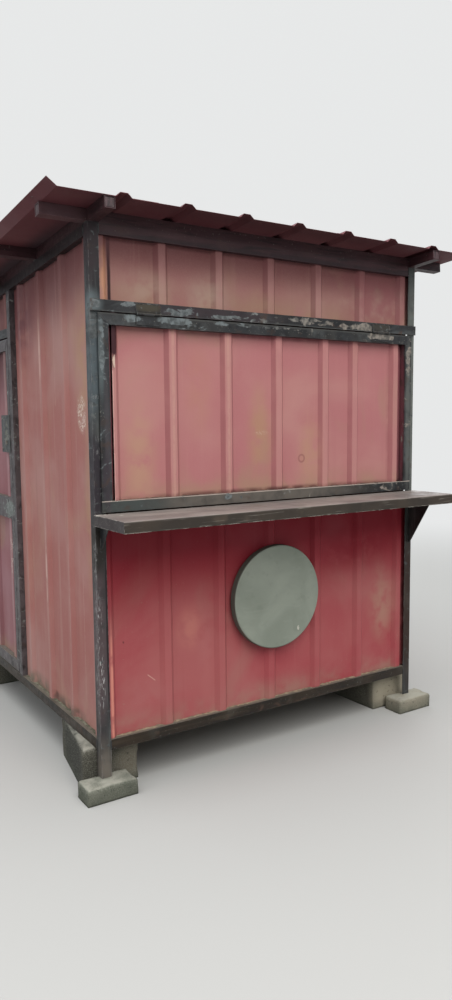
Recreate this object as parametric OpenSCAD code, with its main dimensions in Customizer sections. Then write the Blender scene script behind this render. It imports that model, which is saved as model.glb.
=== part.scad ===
// Street kiosk: a cabin of angle iron and box-profile steel sheet on concrete blocks,
// with a serving hatch that is hinged at its top, a counter below it and a side door.
// Every module works in the cabin's own frame: X from the left posts' outer faces to the right,
// Y from the front posts' outer faces to the rear, Z up from the ground.

/* [Cabin] */
// Width over the corner posts
cabin_w = 1600; // [1500:10:2200]
// Depth over the corner posts
cabin_d = 1600; // [1500:10:2200]
// Height of the steel frame's top at the front, above the ground
frame_top = 2068; // [2040:2:2300]
// Top of the bottom rails above the ground
rail_top = 205; // [190:1:230]

/* [Angle iron] */
// Width of an angle's leg
leg = 40; // [35:1:50]
// Thickness of an angle's leg
angle_t = 4; // [3:0.5:6]
// Radius of the fillet in an angle's root
angle_root = 5; // [3:0.5:7]
// Radius of an angle's rounded toes
angle_toe = 2.5; // [1:0.5:3]

/* [Ribbed sheet] */
// Thickness of the sheet
sheet_t = 1; // [0.8:0.1:1.5]
// Height of a wall sheet's rib
rib_h = 15; // [10:1:18]
// Width of a rib's flat crest
rib_crest = 28; // [20:1:36]
// Width of a rib at its foot
rib_foot = 60; // [44:1:72]
// Distance from rib to rib
rib_pitch = 248; // [200:1:300]
// Depth of a wall sheet's flat pans behind the frame's outer face
pan_set = 25; // [22:1:30]
// First rib of the upper front sheet, from the left
upper_rib = 46; // [40:1:120]
// First rib of the lower front sheet, from the left
lower_rib = 44; // [40:1:150]
// First rib of the side sheets, from the front
side_rib = 58; // [56:1:150]
// Reach of an outer sheet's edge past the middle of the rib where two sheets lap
lap_reach = 56; // [40:1:90]
// Width of the flat by which an inner sheet starts before the outer sheet's edge
under_lap = 20; // [15:1:25]

/* [Counter] */
// Top of the counter above the ground
counter_top = 1048; // [1000:1:1100]
// Reach of the counter in front of the posts
counter_reach = 250; // [220:5:350]
// How far the counter passes each side of the cabin
counter_past = 5; // [0:1:30]
// Height of the counter's turned-down lip
lip_h = 40; // [30:1:60]
// Thickness of the counter's plate
counter_t = 3; // [2:0.5:4]
// Outer radius of the bend along the counter's front edge
counter_bend = 6; // [5:0.5:10]
// Distance of a gusset from the cabin's side
gusset_inset = 18; // [8:1:30]
// Reach of the left gusset below the counter
left_gusset_reach = 90; // [60:5:210]
// Height of the left gusset
left_gusset_h = 118; // [80:1:260]
// Reach of the right gusset below the counter
right_gusset_reach = 155; // [60:5:210]
// Height of the right gusset
right_gusset_h = 240; // [80:5:260]
// Width of a gusset's cut-off tips
gusset_tip = 12; // [5:1:25]

/* [Serving hatch] */
// Drop from the frame's top to the underside of the header
header_drop = 303; // [260:1:345]
// Distance of the flap from each side of the cabin
flap_inset = 25; // [15:1:30]
// Clearance between the flap and the header above it
flap_gap = 5; // [5:1:8]
// Clearance between the flap and the counter below it
flap_sill_gap = 6; // [6:1:12]
// Clearance between the flap and the posts' faces
flap_stand_off = 6; // [5:1:10]
// First rib of the flap's sheet, from the left side of the cabin
flap_rib = 82; // [74:1:110]
// Last rib of the flap's sheet, from the right side of the cabin
flap_end_rib = 108; // [95:1:130]
// Depth of the flap sheet's flat pans behind the flap's outer face
flap_pan_set = 30; // [24:1:36]
// Distance of the flap's hinges from the middle of the cabin
hinge_spread = 577; // [400:1:600]

/* [Side door] */
// Front edge of the door post, from the front of the cabin
door_post_from = 900; // [820:5:940]
// Width of the door post
door_post_w = 40; // [36:1:90]
// Clearance around the door leaf
door_gap = 6; // [5:0.5:8]
// Width of the door's stiles
stile_w = 30; // [25:1:60]
// Height of the door's top and bottom rails
door_rail_w = 50; // [45:1:70]
// Underside of the door's middle rail above the ground
mid_rail_low = 937; // [850:1:1000]
// Height of the door's middle rail
mid_rail_h = 100; // [70:1:120]
// Height of the lock case's underside above the ground
lock_low = 1246; // [1150:1:1300]
// Height of the lock case
lock_h = 171; // [120:1:200]
// Width of the lock case
lock_w = 93; // [80:1:140]
// Width by which the lock's cover plate lies over the stile
lock_cover = 26; // [10:1:26]
// Distance of the door's hinges from its top and bottom
door_hinge_inset = 220; // [150:5:300]

/* [Hinges] */
// Length of a butt hinge
hinge_l = 100; // [80:1:120]
// Length of each of a hinge's two end knuckles
hinge_end = 30; // [20:1:32]
// Width of a hinge leaf, from the pin's axis
hinge_w = 37; // [30:1:37]
// Thickness of a hinge leaf
hinge_t = 3; // [2:0.5:3]
// Radius of a hinge knuckle
knuckle_r = 5; // [4.5:0.1:6]
// Radius of a hinge pin
pin_r = 2.5; // [2:0.1:3]

/* [Sign disc] */
// Diameter of the blank disc
disc_d = 435; // [380:5:480]
// Height of the disc's centre above the ground
disc_z = 648; // [560:2:680]
// Depth of the disc's rim, in front of the sheet's ribs
disc_rim = 32; // [20:1:45]
// Thickness of the disc's metal
disc_t = 3; // [2:0.5:4]
// Outer radius of the rolled edge between the disc's face and its rim
disc_edge = 7; // [5:0.5:12]

/* [Roof] */
// Fall of the frame's top from the front of the cabin to its rear
roof_drop = 107; // [60:1:130]
// Reach of the roof in front of the cabin and behind it
eave = 150; // [120:5:220]
// Reach of the roof past the left side of the cabin
left_verge = 196; // [185:1:260]
// Reach of the roof past the right side of the cabin
right_verge = 220; // [185:1:260]
// Height by which the roof's left edge is bent up
edge_up = 26; // [15:1:35]
// Width of the strip that is bent up
edge_up_w = 34; // [20:1:50]
// Reach of the purlins past each side of the cabin
purlin_past = 170; // [120:5:175]
// Number of purlins, with one at the front of the cabin and one at its rear
purlin_count = 4; // [3:1:6]
// Width and height of the roof's square tubes
tube = 40; // [35:1:50]
// Wall of the roof's square tubes
tube_t = 3; // [2:0.5:4]
// Height of the roof sheets' ribs
roof_rib_h = 15; // [12:1:25]
// First rib of the middle roof sheet, from the left side of the cabin
roof_rib = 72; // [45:1:150]
// Number of ribs of the middle roof sheet
roof_ribs = 5; // [3:1:6]
// Width by which the left roof sheet covers the middle one
left_lap = 158; // [60:1:180]

/* [Floor] */
// Thickness of the floor panel
floor_t = 12; // [9:1:25]
// Clearance between the floor panel and what it is cut around
floor_gap = 2; // [1:0.5:5]
// Number of joists under the floor panel
joist_count = 2; // [1:1:4]

/* [Footings] */
// Length of the paver under each post
paver_l = 200; // [180:5:240]
// Width of the paver under each post
paver_w = 100; // [90:5:140]
// Height of the paver under each post
paver_h = 64; // [50:1:80]
// Bevel of a paver's top edges
paver_bevel = 5; // [2:0.5:8]
// Reach of a paver outside the cabin's side
paver_out_x = 82; // [40:1:100]
// Reach of a paver outside the cabin's front or rear
paver_out_y = 60; // [20:1:60]
// Width of the block under each end of a side rail
block_w = 229; // [180:1:260]
// Length of the block under the front end of a side rail
block_l = 370; // [300:5:400]
// Length of the block under the rear end of a side rail
rear_block_l = 110; // [90:5:400]
// Distance of a block from the corner of the cabin
block_from = 58; // [50:1:120]
// Reach of a block's outer corner outside the cabin's side
block_out = 52; // [30:1:90]
// How far a block's outer side runs in along its length
block_skew = 62; // [0:1:80]
// Bevel of a block's worn edges
block_bevel = 12; // [4:1:20]

/* [Hidden] */
$fn = 48;
disc_facets = 96;

rail_low = rail_top - leg;
header_low = frame_top - header_drop;
header_top = header_low + leg;
sill_low = counter_top - leg;
sheet_back = pan_set + sheet_t;
inner_back = sheet_back + sheet_t;
post_x = cabin_w - leg;
post_y = cabin_d - leg;
door_from = door_post_from + door_post_w + door_gap;
door_to = post_y - door_gap;
door_low = rail_top + door_gap;
door_high = header_low - door_gap;
door_hinge_rows = [door_low + door_hinge_inset, door_high - door_hinge_inset];
flap_low = counter_top + flap_sill_gap;
flap_high = header_low - flap_gap;
flap_face = -flap_stand_off - angle_t;
hinge_air = 0.5;
hinge_off = knuckle_r + hinge_air;
hatch_axis = [flap_face - hinge_off, header_low - flap_gap / 2];
door_axis = [-hinge_off, door_to + door_gap / 2];
pin_clearance = 0.1;
slope = roof_drop / cabin_d;
fall_angle = atan(slope);
rail_drop = leg / cos(fall_angle);
roof_skin = tube + max(roof_rib_h, edge_up) + 2 * sheet_t;
roof_front = -eave / cos(fall_angle);
roof_back = (cabin_d + eave - roof_skin * sin(fall_angle)) / cos(fall_angle);
roof_last_rib = roof_rib + (roof_ribs - 1) * rib_pitch;
far = 5000;
cut = 1;

frame_black = "#3a3a3d";
hatch_red = "#b46a6a";
panel_red = "#a3484c";
wall_red = "#95625f";
roof_maroon = "#4a3235";
steel_grey = "#8a8480";
disc_green = "#848a7e";
concrete = "#8a8c85";
plywood = "#8f7758";

// Height of the frame's sloping top plane at a distance from the front
function top_at(y) = frame_top - slope * y;

// Points of one rib of the given height around x
function rib(x, h) = [
    [x - rib_foot / 2, 0], [x - rib_crest / 2, h], [x + rib_crest / 2, h], [x + rib_foot / 2, 0]
];

// Rib positions from a first one, at the sheet's pitch, that fit whole before the end
function rib_row(first, end) = [for (x = first; x <= end - rib_foot / 2; x = x + rib_pitch) x];

// Closed outline of a folded line with the sheet's thickness
function folded(line) = concat(line, [for (i = [len(line) - 1 : -1 : 0]) line[i] + [0, sheet_t]]);

// Cabin frame to the library frame: the middle of the plan comes to the origin
module placed() {
    middle = (cabin_w + right_verge - left_verge) / 2;
    translate([-middle, (counter_reach - cabin_d - eave) / 2, 0]) children();
}

// A wall's own frame has x along the wall from its front or left corner, y into the cabin
module on_left() {
    mirror([1, -1, 0]) children();
}

module on_right() {
    translate([cabin_w, 0, 0]) rotate([0, 0, 90]) children();
}

module on_rear() {
    translate([0, cabin_d, 0]) mirror([0, 1, 0]) children();
}

// Mirrors a front-left piece to another corner
module at_corner(right, rear) {
    translate([right ? cabin_w : 0, rear ? cabin_d : 0, 0])
        mirror([right ? 1 : 0, 0, 0])
            mirror([0, rear ? 1 : 0, 0])
                children();
}

// Frame of the roof: origin on the frame's front top edge, y down the fall
module on_roof() {
    translate([0, 0, frame_top]) rotate([-fall_angle, 0, 0]) children();
}

// Everything under the frame's top plane, lowered by drop
module under_top(drop) {
    translate([-far / 2, 0, 0])
        along_x(2 * far)
            polygon([[-far, 0], [far, 0], [far, top_at(far) - drop], [-far, top_at(-far) - drop]]);
}

// Runs a flat outline along x, its own x toward the cabin's inside and its y upward
module along_x(length) {
    rotate([90, 0, 90]) linear_extrude(length) children();
}

// Hollow of a fillet: the corner at the origin, up to an arc
module fillet(r) {
    difference() {
        square(r);
        translate([r, r]) circle(r);
    }
}

// Section of a rolled angle with its heel at the origin: filleted root, rounded toes
module angle_section() {
    difference() {
        union() {
            square([leg, angle_t]);
            square([angle_t, leg]);
            translate([angle_t, angle_t]) fillet(angle_root);
        }
        translate([leg, angle_t]) rotate(180) fillet(angle_toe);
        translate([angle_t, leg]) rotate(180) fillet(angle_toe);
    }
}

// Level angle iron: upright leg with its outer face at y 0, ledge at its top or bottom edge
module level_angle(from, to, low, ledge_on_top) {
    translate([from, 0, low + (ledge_on_top ? leg : 0)])
        mirror([0, 0, ledge_on_top ? 1 : 0])
            along_x(to - from) angle_section();
}

// Angle iron along a side wall under the roof's fall, its ends cut upright against the posts
module sloping_angle() {
    intersection() {
        on_roof()
            translate([0, 2 * cabin_d, -leg])
                rotate([90, 0, 0])
                    linear_extrude(2 * cabin_d) angle_section();
        translate([-cut, leg, 0]) cube([leg + 2 * cut, cabin_d - 2 * leg, far]);
    }
}

// Upright sheet in a wall's frame from the line of its outline
module upright_sheet(line, low, high) {
    translate([0, pan_set, low]) linear_extrude(high - low) polygon(folded(line));
}

// Upright sheet with ribs to the outside, without any that would pass its first edge
module wall_sheet(from, to, low, high, ribs) {
    whole = [for (x = ribs) if (x - rib_foot / 2 >= from) x];
    upright_sheet(concat([[from, 0]], [for (x = whole) each rib(x, -rib_h)], [[to, 0]]), low, high);
}

// Two sheets side by side; the outer one's last rib lies over the inner one's first
module lapped_sheets(from, to, low, high, ribs, shared) {
    outer = [for (x = ribs) if (x <= shared) x];
    inner = [for (x = ribs) if (x >= shared) x];
    wall_sheet(from, shared + lap_reach, low, high, outer);
    translate([0, sheet_t, 0])
        wall_sheet(shared - rib_foot / 2 - under_lap, to, low, high, inner);
}

// Picture frame of angle iron: flat faces outside, legs turned in at the inner edges
module angle_frame(w, h, side, rail) {
    difference() {
        cube([w, angle_t, h]);
        translate([side, -cut, rail]) cube([w - 2 * side, angle_t + 2 * cut, h - 2 * rail]);
    }
    difference() {
        translate([side - angle_t, 0, rail - angle_t])
            cube([w - 2 * (side - angle_t), leg, h - 2 * (rail - angle_t)]);
        translate([side, -cut, rail]) cube([w - 2 * side, leg + 2 * cut, h - 2 * rail]);
    }
}

// Square tube along x
module square_tube(from, to) {
    translate([from, 0, 0])
        along_x(to - from)
            difference() {
                square(tube);
                translate([tube_t, tube_t]) square(tube - 2 * tube_t);
            }
}

// Hinge half along x: leaf upward from the axis, its back at y = back; knuckles are [from, to] pairs
module hinge_half(knuckles, back) {
    translate([-hinge_l / 2, back - hinge_t, hinge_off])
        cube([hinge_l, hinge_t, hinge_w - hinge_off]);
    for (k = knuckles) {
        translate([k[0], 0, 0]) rotate([0, 90, 0]) cylinder(r = knuckle_r, h = k[1] - k[0]);
        translate([k[0], back - hinge_t, 0]) cube([k[1] - k[0], hinge_t, hinge_off + cut / 2]);
    }
}

// Half with the two end knuckles and the pin, which stays on the cabin
module hinge_fixed(back) {
    half = hinge_l / 2;
    hinge_half([[-half, hinge_end - half], [half - hinge_end, half]], back);
    translate([-half, 0, 0]) rotate([0, 90, 0]) cylinder(r = pin_r, h = hinge_l);
}

// Half with the middle knuckle, which turns with the leaf
module hinge_moving(back) {
    middle = hinge_l / 2 - hinge_end - hinge_air;
    difference() {
        hinge_half([[-middle, middle]], back);
        translate([-hinge_l, 0, 0]) rotate([0, 90, 0]) cylinder(r = pin_r + pin_clearance, h = 2 * hinge_l);
    }
}

// Angle iron on its paver, cut by the roof's plane
module corner_post(right, rear) {
    placed()
        color(frame_black)
            intersection() {
                at_corner(right, rear)
                    translate([0, 0, paver_h]) linear_extrude(far) angle_section();
                under_top(0);
            }
}

module corner_post_front_left() {
    corner_post(false, false);
}

module corner_post_front_right() {
    corner_post(true, false);
}

module corner_post_rear_left() {
    corner_post(false, true);
}

module corner_post_rear_right() {
    corner_post(true, true);
}

// Channel with its open side to the inside
module door_post() {
    placed()
        color(frame_black)
            intersection() {
                on_left()
                    translate([door_post_from, 0, rail_top])
                        linear_extrude(far)
                            difference() {
                                square([door_post_w, leg]);
                                translate([angle_t, angle_t])
                                    square([door_post_w - 2 * angle_t, leg]);
                            }
                under_top(rail_drop);
            }
}

module bottom_rail_front() {
    placed() color(frame_black) level_angle(leg, post_x, rail_low, true);
}

module bottom_rail_rear() {
    placed() color(frame_black) on_rear() level_angle(leg, post_x, rail_low, true);
}

module bottom_rail_left() {
    placed() color(frame_black) on_left() level_angle(leg, post_y, rail_low, true);
}

module bottom_rail_right() {
    placed() color(frame_black) on_right() level_angle(leg, post_y, rail_low, true);
}

module top_rail_front() {
    placed()
        color(frame_black)
            intersection() {
                level_angle(leg, post_x, frame_top - leg, false);
                under_top(0);
            }
}

module top_rail_rear() {
    placed()
        color(frame_black)
            intersection() {
                on_rear() level_angle(leg, post_x, top_at(cabin_d) - leg, false);
                under_top(0);
            }
}

module top_rail_left() {
    placed() color(frame_black) sloping_angle();
}

module top_rail_right() {
    placed() color(frame_black) translate([cabin_w, 0, 0]) mirror([1, 0, 0]) sloping_angle();
}

// Coped angle flush with the flap: face over the posts on packing plates, ledge between them
module hatch_header() {
    placed()
        color(frame_black) {
            translate([0, flap_face, header_top])
                mirror([0, 0, 1])
                    difference() {
                        along_x(cabin_w) angle_section();
                        for (x = [-cut, post_x])
                            translate([x, angle_t, -cut]) cube([leg + cut, leg, leg + 2 * cut]);
                    }
            for (x = [0, post_x])
                translate([x, -flap_stand_off, header_low]) cube([leg, flap_stand_off, leg]);
        }
}

module hatch_sill() {
    placed() color(frame_black) level_angle(leg, post_x, sill_low, false);
}

module door_lintel() {
    placed()
        color(frame_black)
            on_left() level_angle(door_post_from + door_post_w, post_y, header_low, true);
}

// Square tubes that carry the floor between the side rails
module floor_joists() {
    placed()
        color(frame_black)
            for (i = [1 : joist_count])
                translate([0, cabin_d * i / (joist_count + 1) - tube / 2, rail_top - tube])
                    square_tube(leg, post_x);
}

// Board on the rails' ledges, cut out around the door post
module floor_panel() {
    from = inner_back + floor_gap;
    placed()
        color(plywood)
            translate([0, 0, rail_top])
                difference() {
                    translate([from, from, 0]) cube([cabin_w - 2 * from, cabin_d - 2 * from, floor_t]);
                    on_left()
                        translate([door_post_from - floor_gap, 0, -cut])
                            cube([door_post_w + 2 * floor_gap, leg + floor_gap, floor_t + 2 * cut]);
                }
}

module front_lower_sheet() {
    ribs = rib_row(lower_rib, cabin_w - angle_t);
    placed()
        color(panel_red)
            lapped_sheets(angle_t, cabin_w - angle_t, rail_top, sill_low, ribs, ribs[len(ribs) - 2]);
}

module front_upper_sheet() {
    ribs = rib_row(upper_rib, cabin_w - angle_t);
    placed()
        color(panel_red)
            lapped_sheets(angle_t, cabin_w - angle_t, header_top, frame_top - leg, ribs,
                ribs[len(ribs) - 3]);
}

module left_wall_sheet() {
    placed()
        color(wall_red)
            intersection() {
                on_left()
                    wall_sheet(sheet_back, door_post_from, rail_top, frame_top,
                        rib_row(side_rib, door_post_from));
                under_top(rail_drop);
            }
}

module over_door_sheet() {
    from = door_post_from + door_post_w;
    placed()
        color(wall_red)
            intersection() {
                on_left()
                    wall_sheet(from, cabin_d - inner_back, header_top, frame_top,
                        rib_row(from + side_rib, cabin_d - inner_back));
                under_top(rail_drop);
            }
}

module right_wall_sheet() {
    ribs = rib_row(side_rib, cabin_d - inner_back);
    placed()
        color(wall_red)
            intersection() {
                on_right()
                    lapped_sheets(inner_back, cabin_d - inner_back, rail_top, frame_top, ribs,
                        ribs[len(ribs) - 3]);
                under_top(rail_drop);
            }
}

module rear_wall_sheet() {
    ribs = rib_row(lower_rib, cabin_w - angle_t);
    placed()
        color(wall_red)
            on_rear()
                lapped_sheets(angle_t, cabin_w - angle_t, rail_top, top_at(cabin_d) - leg, ribs,
                    ribs[len(ribs) - 3]);
}

// Rafter over a side wall, from eave to eave
module rafter(x) {
    color(frame_black)
        on_roof()
            translate([x + tube, roof_front + angle_t, 0])
                rotate([0, 0, 90])
                    square_tube(0, roof_back - roof_front - 2 * angle_t);
}

module roof_rafter_left() {
    placed() rafter(0);
}

module roof_rafter_right() {
    placed() rafter(cabin_w - tube);
}

// Purlins between the rafters and outside them
module roof_purlins() {
    step = (cabin_d / cos(fall_angle) - tube) / (purlin_count - 1);
    placed()
        color(frame_black)
            on_roof()
                for (row = [0 : purlin_count - 1])
                    translate([0, row * step, 0]) {
                        square_tube(-purlin_past, 0);
                        square_tube(tube, cabin_w - tube);
                        square_tube(cabin_w, cabin_w + purlin_past);
                    }
}

// Roof sheet with its ribs down the fall; the line holds its outline across the roof
module roof_sheet(line, raise) {
    placed()
        color(roof_maroon)
            on_roof()
                translate([0, roof_back, tube + raise])
                    rotate([90, 0, 0])
                        linear_extrude(roof_back - roof_front)
                            polygon(folded(line));
}

// Cut sheet whose free edge is bent up
module roof_sheet_left() {
    roof_sheet(concat(
        [[-left_verge, edge_up], [edge_up_w - left_verge, 0]],
        rib(roof_rib, roof_rib_h),
        [[roof_rib - rib_foot / 2 + left_lap, 0]]
    ), sheet_t);
}

module roof_sheet_middle() {
    roof_sheet(concat(
        [[roof_rib - rib_foot, 0]],
        [for (i = [0 : roof_ribs - 1]) each rib(roof_rib + i * rib_pitch, roof_rib_h)],
        [[roof_last_rib + rib_foot, 0]]
    ), 0);
}

module roof_sheet_right() {
    end = cabin_w + right_verge;
    roof_sheet(concat(
        [[roof_last_rib - rib_foot, 0]],
        [for (x = rib_row(roof_last_rib, end - rib_foot)) each rib(x, roof_rib_h)],
        [[end - rib_foot / 2, 0], [end - rib_crest / 2, roof_rib_h], [end, roof_rib_h]]
    ), sheet_t);
}

// Section of a bent plate or what it encloses: the bend is at its upper left corner
module bent_section(reach, height, r) {
    difference() {
        square([reach, height]);
        translate([0, height]) rotate(-90) fillet(r);
    }
}

// Plate bent down along the front, with end plates welded in
module counter_shelf() {
    w = cabin_w + 2 * counter_past;
    placed()
        color(steel_grey)
            translate([-counter_past, -counter_reach, counter_top - lip_h])
                difference() {
                    along_x(w) bent_section(counter_reach, lip_h, counter_bend);
                    translate([counter_t, counter_t, -cut])
                        along_x(w - 2 * counter_t)
                            bent_section(counter_reach, lip_h - counter_t + cut,
                                counter_bend - counter_t);
                }
}

// Triangular plate with cut-off tips between a post's face and the counter
module gusset(x, reach, height) {
    top = counter_top - counter_t;
    translate([x, 0, 0])
        along_x(angle_t)
            polygon([
                [0, top], [-reach, top], [-reach, top - gusset_tip],
                [-gusset_tip, top - height], [0, top - height]
            ]);
}

module counter_gussets() {
    placed()
        color(frame_black) {
            gusset(gusset_inset, left_gusset_reach, left_gusset_h);
            gusset(cabin_w - gusset_inset - angle_t, right_gusset_reach, right_gusset_h);
        }
}

// Section of the disc's pan, or of its hollow, from the axis outward; the face is at the height
module pan_section(radius, height, r) {
    difference() {
        square([radius, height]);
        translate([radius, height]) rotate(180) fillet(r);
    }
}

// Shallow round pan with a rolled edge, whose rim stands on the lower sheet's ribs
module sign_disc() {
    placed()
        color(disc_green)
            translate([cabin_w / 2, pan_set - rib_h, disc_z])
                rotate([90, 0, 0])
                    rotate_extrude($fn = disc_facets)
                        difference() {
                            pan_section(disc_d / 2, disc_rim, disc_edge);
                            translate([0, -cut])
                                pan_section(disc_d / 2 - disc_t, disc_rim - disc_t + cut,
                                    disc_edge - disc_t);
                        }
}

// Slab with bevelled top edges
module bevelled(low, high, bevel) {
    inset = [[1, 1], [-1, 1], [-1, -1], [1, -1]];
    upper = [for (i = [0 : 3]) low[i] + inset[i] * bevel];
    hull() {
        linear_extrude(high - bevel) polygon(low);
        linear_extrude(high) polygon(upper);
    }
}

// Paver under the post, and a rough block under the end of the side rail, not quite square
module footing(right, rear) {
    paver = [
        [-paver_out_x, -paver_out_y], [paver_l - paver_out_x, -paver_out_y],
        [paver_l - paver_out_x, paver_w - paver_out_y], [-paver_out_x, paver_w - paver_out_y]
    ];
    long = rear ? rear_block_l : block_l;
    block = [
        [-block_out, block_from], [block_w - block_out, block_from],
        [block_w - block_out + block_bevel, block_from + long],
        [block_skew * long / block_l - block_out, block_from + long]
    ];
    placed()
        color(concrete)
            at_corner(right, rear) {
                bevelled(paver, paver_h, paver_bevel);
                bevelled(block, rail_low, block_bevel);
            }
}

module footing_front_left() {
    footing(false, false);
}

module footing_front_right() {
    footing(true, false);
}

module footing_rear_left() {
    footing(false, true);
}

module footing_rear_right() {
    footing(true, true);
}

// Places a hinge on the hatch's axis
module at_hatch_hinge(side) {
    translate([cabin_w / 2 + side * hinge_spread, hatch_axis[0], hatch_axis[1]]) children();
}

// Places a hinge on the door's axis, its fixed leaf toward the rear
module at_door_hinge(z) {
    translate([door_axis[0], door_axis[1], z]) rotate([0, -90, 0]) rotate([-90, 0, 0]) children();
}

module hatch_hinges() {
    placed()
        color(steel_grey)
            for (side = [-1, 1])
                at_hatch_hinge(side) hinge_fixed(hinge_off);
}

module door_hinges() {
    placed()
        color(steel_grey)
            for (z = door_hinge_rows)
                at_door_hinge(z) hinge_fixed(hinge_off);
}

// Flap's frame over the posts' faces, with its hinge leaves welded on
module hatch_frame() {
    placed()
        color(frame_black) {
            translate([flap_inset, flap_face, flap_low])
                angle_frame(cabin_w - 2 * flap_inset, flap_high - flap_low, leg, leg);
            for (side = [-1, 1])
                at_hatch_hinge(side) mirror([0, 0, 1]) hinge_moving(hinge_off);
        }
}

// Flap's two sheets; each ends on the crest of a rib, and the second one breaks the pitch
module hatch_sheet() {
    end = cabin_w - flap_end_rib;
    cut_rib = end - rib_pitch;
    ribs = rib_row(flap_rib + rib_pitch, cut_rib - rib_foot);
    edge = ribs[len(ribs) - 1] + lap_reach;
    low = flap_low + leg;
    high = flap_high - leg;
    placed()
        color(hatch_red)
            translate([0, flap_face + flap_pan_set - pan_set, 0]) {
                upright_sheet(concat(
                    [[flap_rib, -rib_h], [flap_rib + rib_crest / 2, -rib_h], [flap_rib + rib_foot / 2, 0]],
                    [for (x = ribs) each rib(x, -rib_h)],
                    [[edge, 0]]
                ), low, high);
                translate([0, sheet_t, 0])
                    upright_sheet(concat(
                        [[edge - under_lap, 0]],
                        rib(cut_rib, -rib_h),
                        [[end - rib_foot / 2, 0], [end - rib_crest / 2, -rib_h]],
                        [[end + rib_crest / 2, -rib_h]]
                    ), low, high);
            }
}

// Door leaf's frame with a wide middle rail, and its hinge leaves welded on
module door_frame() {
    w = door_to - door_from;
    placed()
        color(frame_black) {
            on_left()
                translate([door_from, 0, door_low]) {
                    angle_frame(w, door_high - door_low, stile_w, door_rail_w);
                    translate([stile_w - angle_t, 0, mid_rail_low - door_low])
                        difference() {
                            cube([w - 2 * (stile_w - angle_t), leg, mid_rail_h]);
                            translate([-cut, angle_t, angle_t])
                                cube([w, leg, mid_rail_h - 2 * angle_t]);
                        }
                }
            for (z = door_hinge_rows)
                at_door_hinge(z) mirror([0, 0, 1]) hinge_moving(hinge_off);
        }
}

module door_sheet() {
    from = door_from + stile_w;
    to = door_to - stile_w;
    ribs = rib_row(from + side_rib, to);
    placed()
        color(wall_red)
            on_left() {
                wall_sheet(from, to, door_low + door_rail_w, mid_rail_low, ribs);
                wall_sheet(from, to, mid_rail_low + mid_rail_h, door_high - door_rail_w, ribs);
            }
}

// Steel case in the corner of stile and sheet, with a cover plate welded on in front
module door_lock() {
    from = door_from + stile_w;
    placed()
        color(steel_grey)
            on_left() {
                translate([from, 0, lock_low]) cube([lock_w, pan_set - rib_h, lock_h]);
                translate([from - lock_cover, -hinge_t, lock_low])
                    cube([lock_w + lock_cover, hinge_t, lock_h]);
            }
}

corner_post_front_left();
corner_post_front_right();
corner_post_rear_left();
corner_post_rear_right();
door_post();
bottom_rail_front();
bottom_rail_rear();
bottom_rail_left();
bottom_rail_right();
top_rail_front();
top_rail_rear();
top_rail_left();
top_rail_right();
hatch_header();
hatch_sill();
door_lintel();
floor_joists();
floor_panel();
front_lower_sheet();
front_upper_sheet();
left_wall_sheet();
over_door_sheet();
right_wall_sheet();
rear_wall_sheet();
roof_rafter_left();
roof_rafter_right();
roof_purlins();
roof_sheet_left();
roof_sheet_middle();
roof_sheet_right();
counter_shelf();
counter_gussets();
sign_disc();
footing_front_left();
footing_front_right();
footing_rear_left();
footing_rear_right();
hatch_hinges();
door_hinges();
hatch_frame();
hatch_sheet();
door_frame();
door_sheet();
door_lock();
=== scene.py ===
import math
import random

import bmesh
import bpy
from mathutils import Matrix, Vector, noise


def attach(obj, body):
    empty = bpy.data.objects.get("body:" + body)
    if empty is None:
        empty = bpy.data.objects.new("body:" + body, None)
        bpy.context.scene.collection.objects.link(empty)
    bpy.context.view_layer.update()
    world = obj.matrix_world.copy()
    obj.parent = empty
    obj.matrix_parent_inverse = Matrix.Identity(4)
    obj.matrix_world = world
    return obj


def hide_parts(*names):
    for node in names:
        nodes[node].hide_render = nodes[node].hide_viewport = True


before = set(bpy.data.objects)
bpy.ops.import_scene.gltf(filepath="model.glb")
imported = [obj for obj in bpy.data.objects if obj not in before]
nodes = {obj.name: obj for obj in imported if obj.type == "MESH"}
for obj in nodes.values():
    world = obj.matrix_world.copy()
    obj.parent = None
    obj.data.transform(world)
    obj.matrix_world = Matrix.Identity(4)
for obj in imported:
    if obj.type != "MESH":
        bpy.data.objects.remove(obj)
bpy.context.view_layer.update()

# Sizes repeated from the CAD source, in millimetres, in the cabin's own frame:
# x from the left posts, y from the front posts, z above the ground.
ORIGIN_X, ORIGIN_Y = 812, 750  # the row frame's origin
WIDTH = 1600
DEPTH = 1600
LEG = 40  # of the frame's angle
PAN_IN = 25  # pans of the walls' sheets, behind the frame's face
RAIL_TOP = 205  # of the bottom rails
RAIL_LOW = RAIL_TOP - LEG
FRAME_TOP = 2068  # at the front; the top rails fall to the rear
SILL_LOW = 1008
HEADER_LOW = 1765
HEADER_TOP = HEADER_LOW + LEG
DOOR_POST_Y = 900
DOOR_POST_TOP = (1966, 1963)  # at its front and rear edge
SHELF_UNDER = 1045
GUSSETS = ((18, 90, 118), (WIDTH - 22, 155, 240))  # x, reach, height
GUSSET_T = 4
FLAP_FACE = -10
FLAP_IN = 25  # from the cabin's side
FLAP_LOW = 1054
FLAP_LEDGE = FLAP_LOW + LEG  # foot of its sheet
FLAP_HIGH = 1760
SLIT_IN = 66  # from the cabin's side, beside the flap's sheet
HATCH_AXIS_Z = 1762.5
HINGE_SPREAD = 577  # from the middle of the front
HINGE_L = 100
HINGE_W = 37  # from the pin's axis
DOOR_AXIS_Y = 1557
DOOR_ROWS = (431, 1539)  # heights of its hinges
DOOR_FROM = 946
DOOR_TO = 1554
DOOR_LOW = 211
DOOR_HIGH = 1759
LOCK_FACE = -3
TUBE = 40  # of the rafters and purlins
RAFTER_FROM = -146.3
RAFTER_TO = 1745.3
PURLINS = 4
PURLIN_PAST = 170  # beyond the cabin's sides
ROOF_DROP = 107
ROOF_TILT = math.atan(ROOF_DROP / DEPTH)
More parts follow.
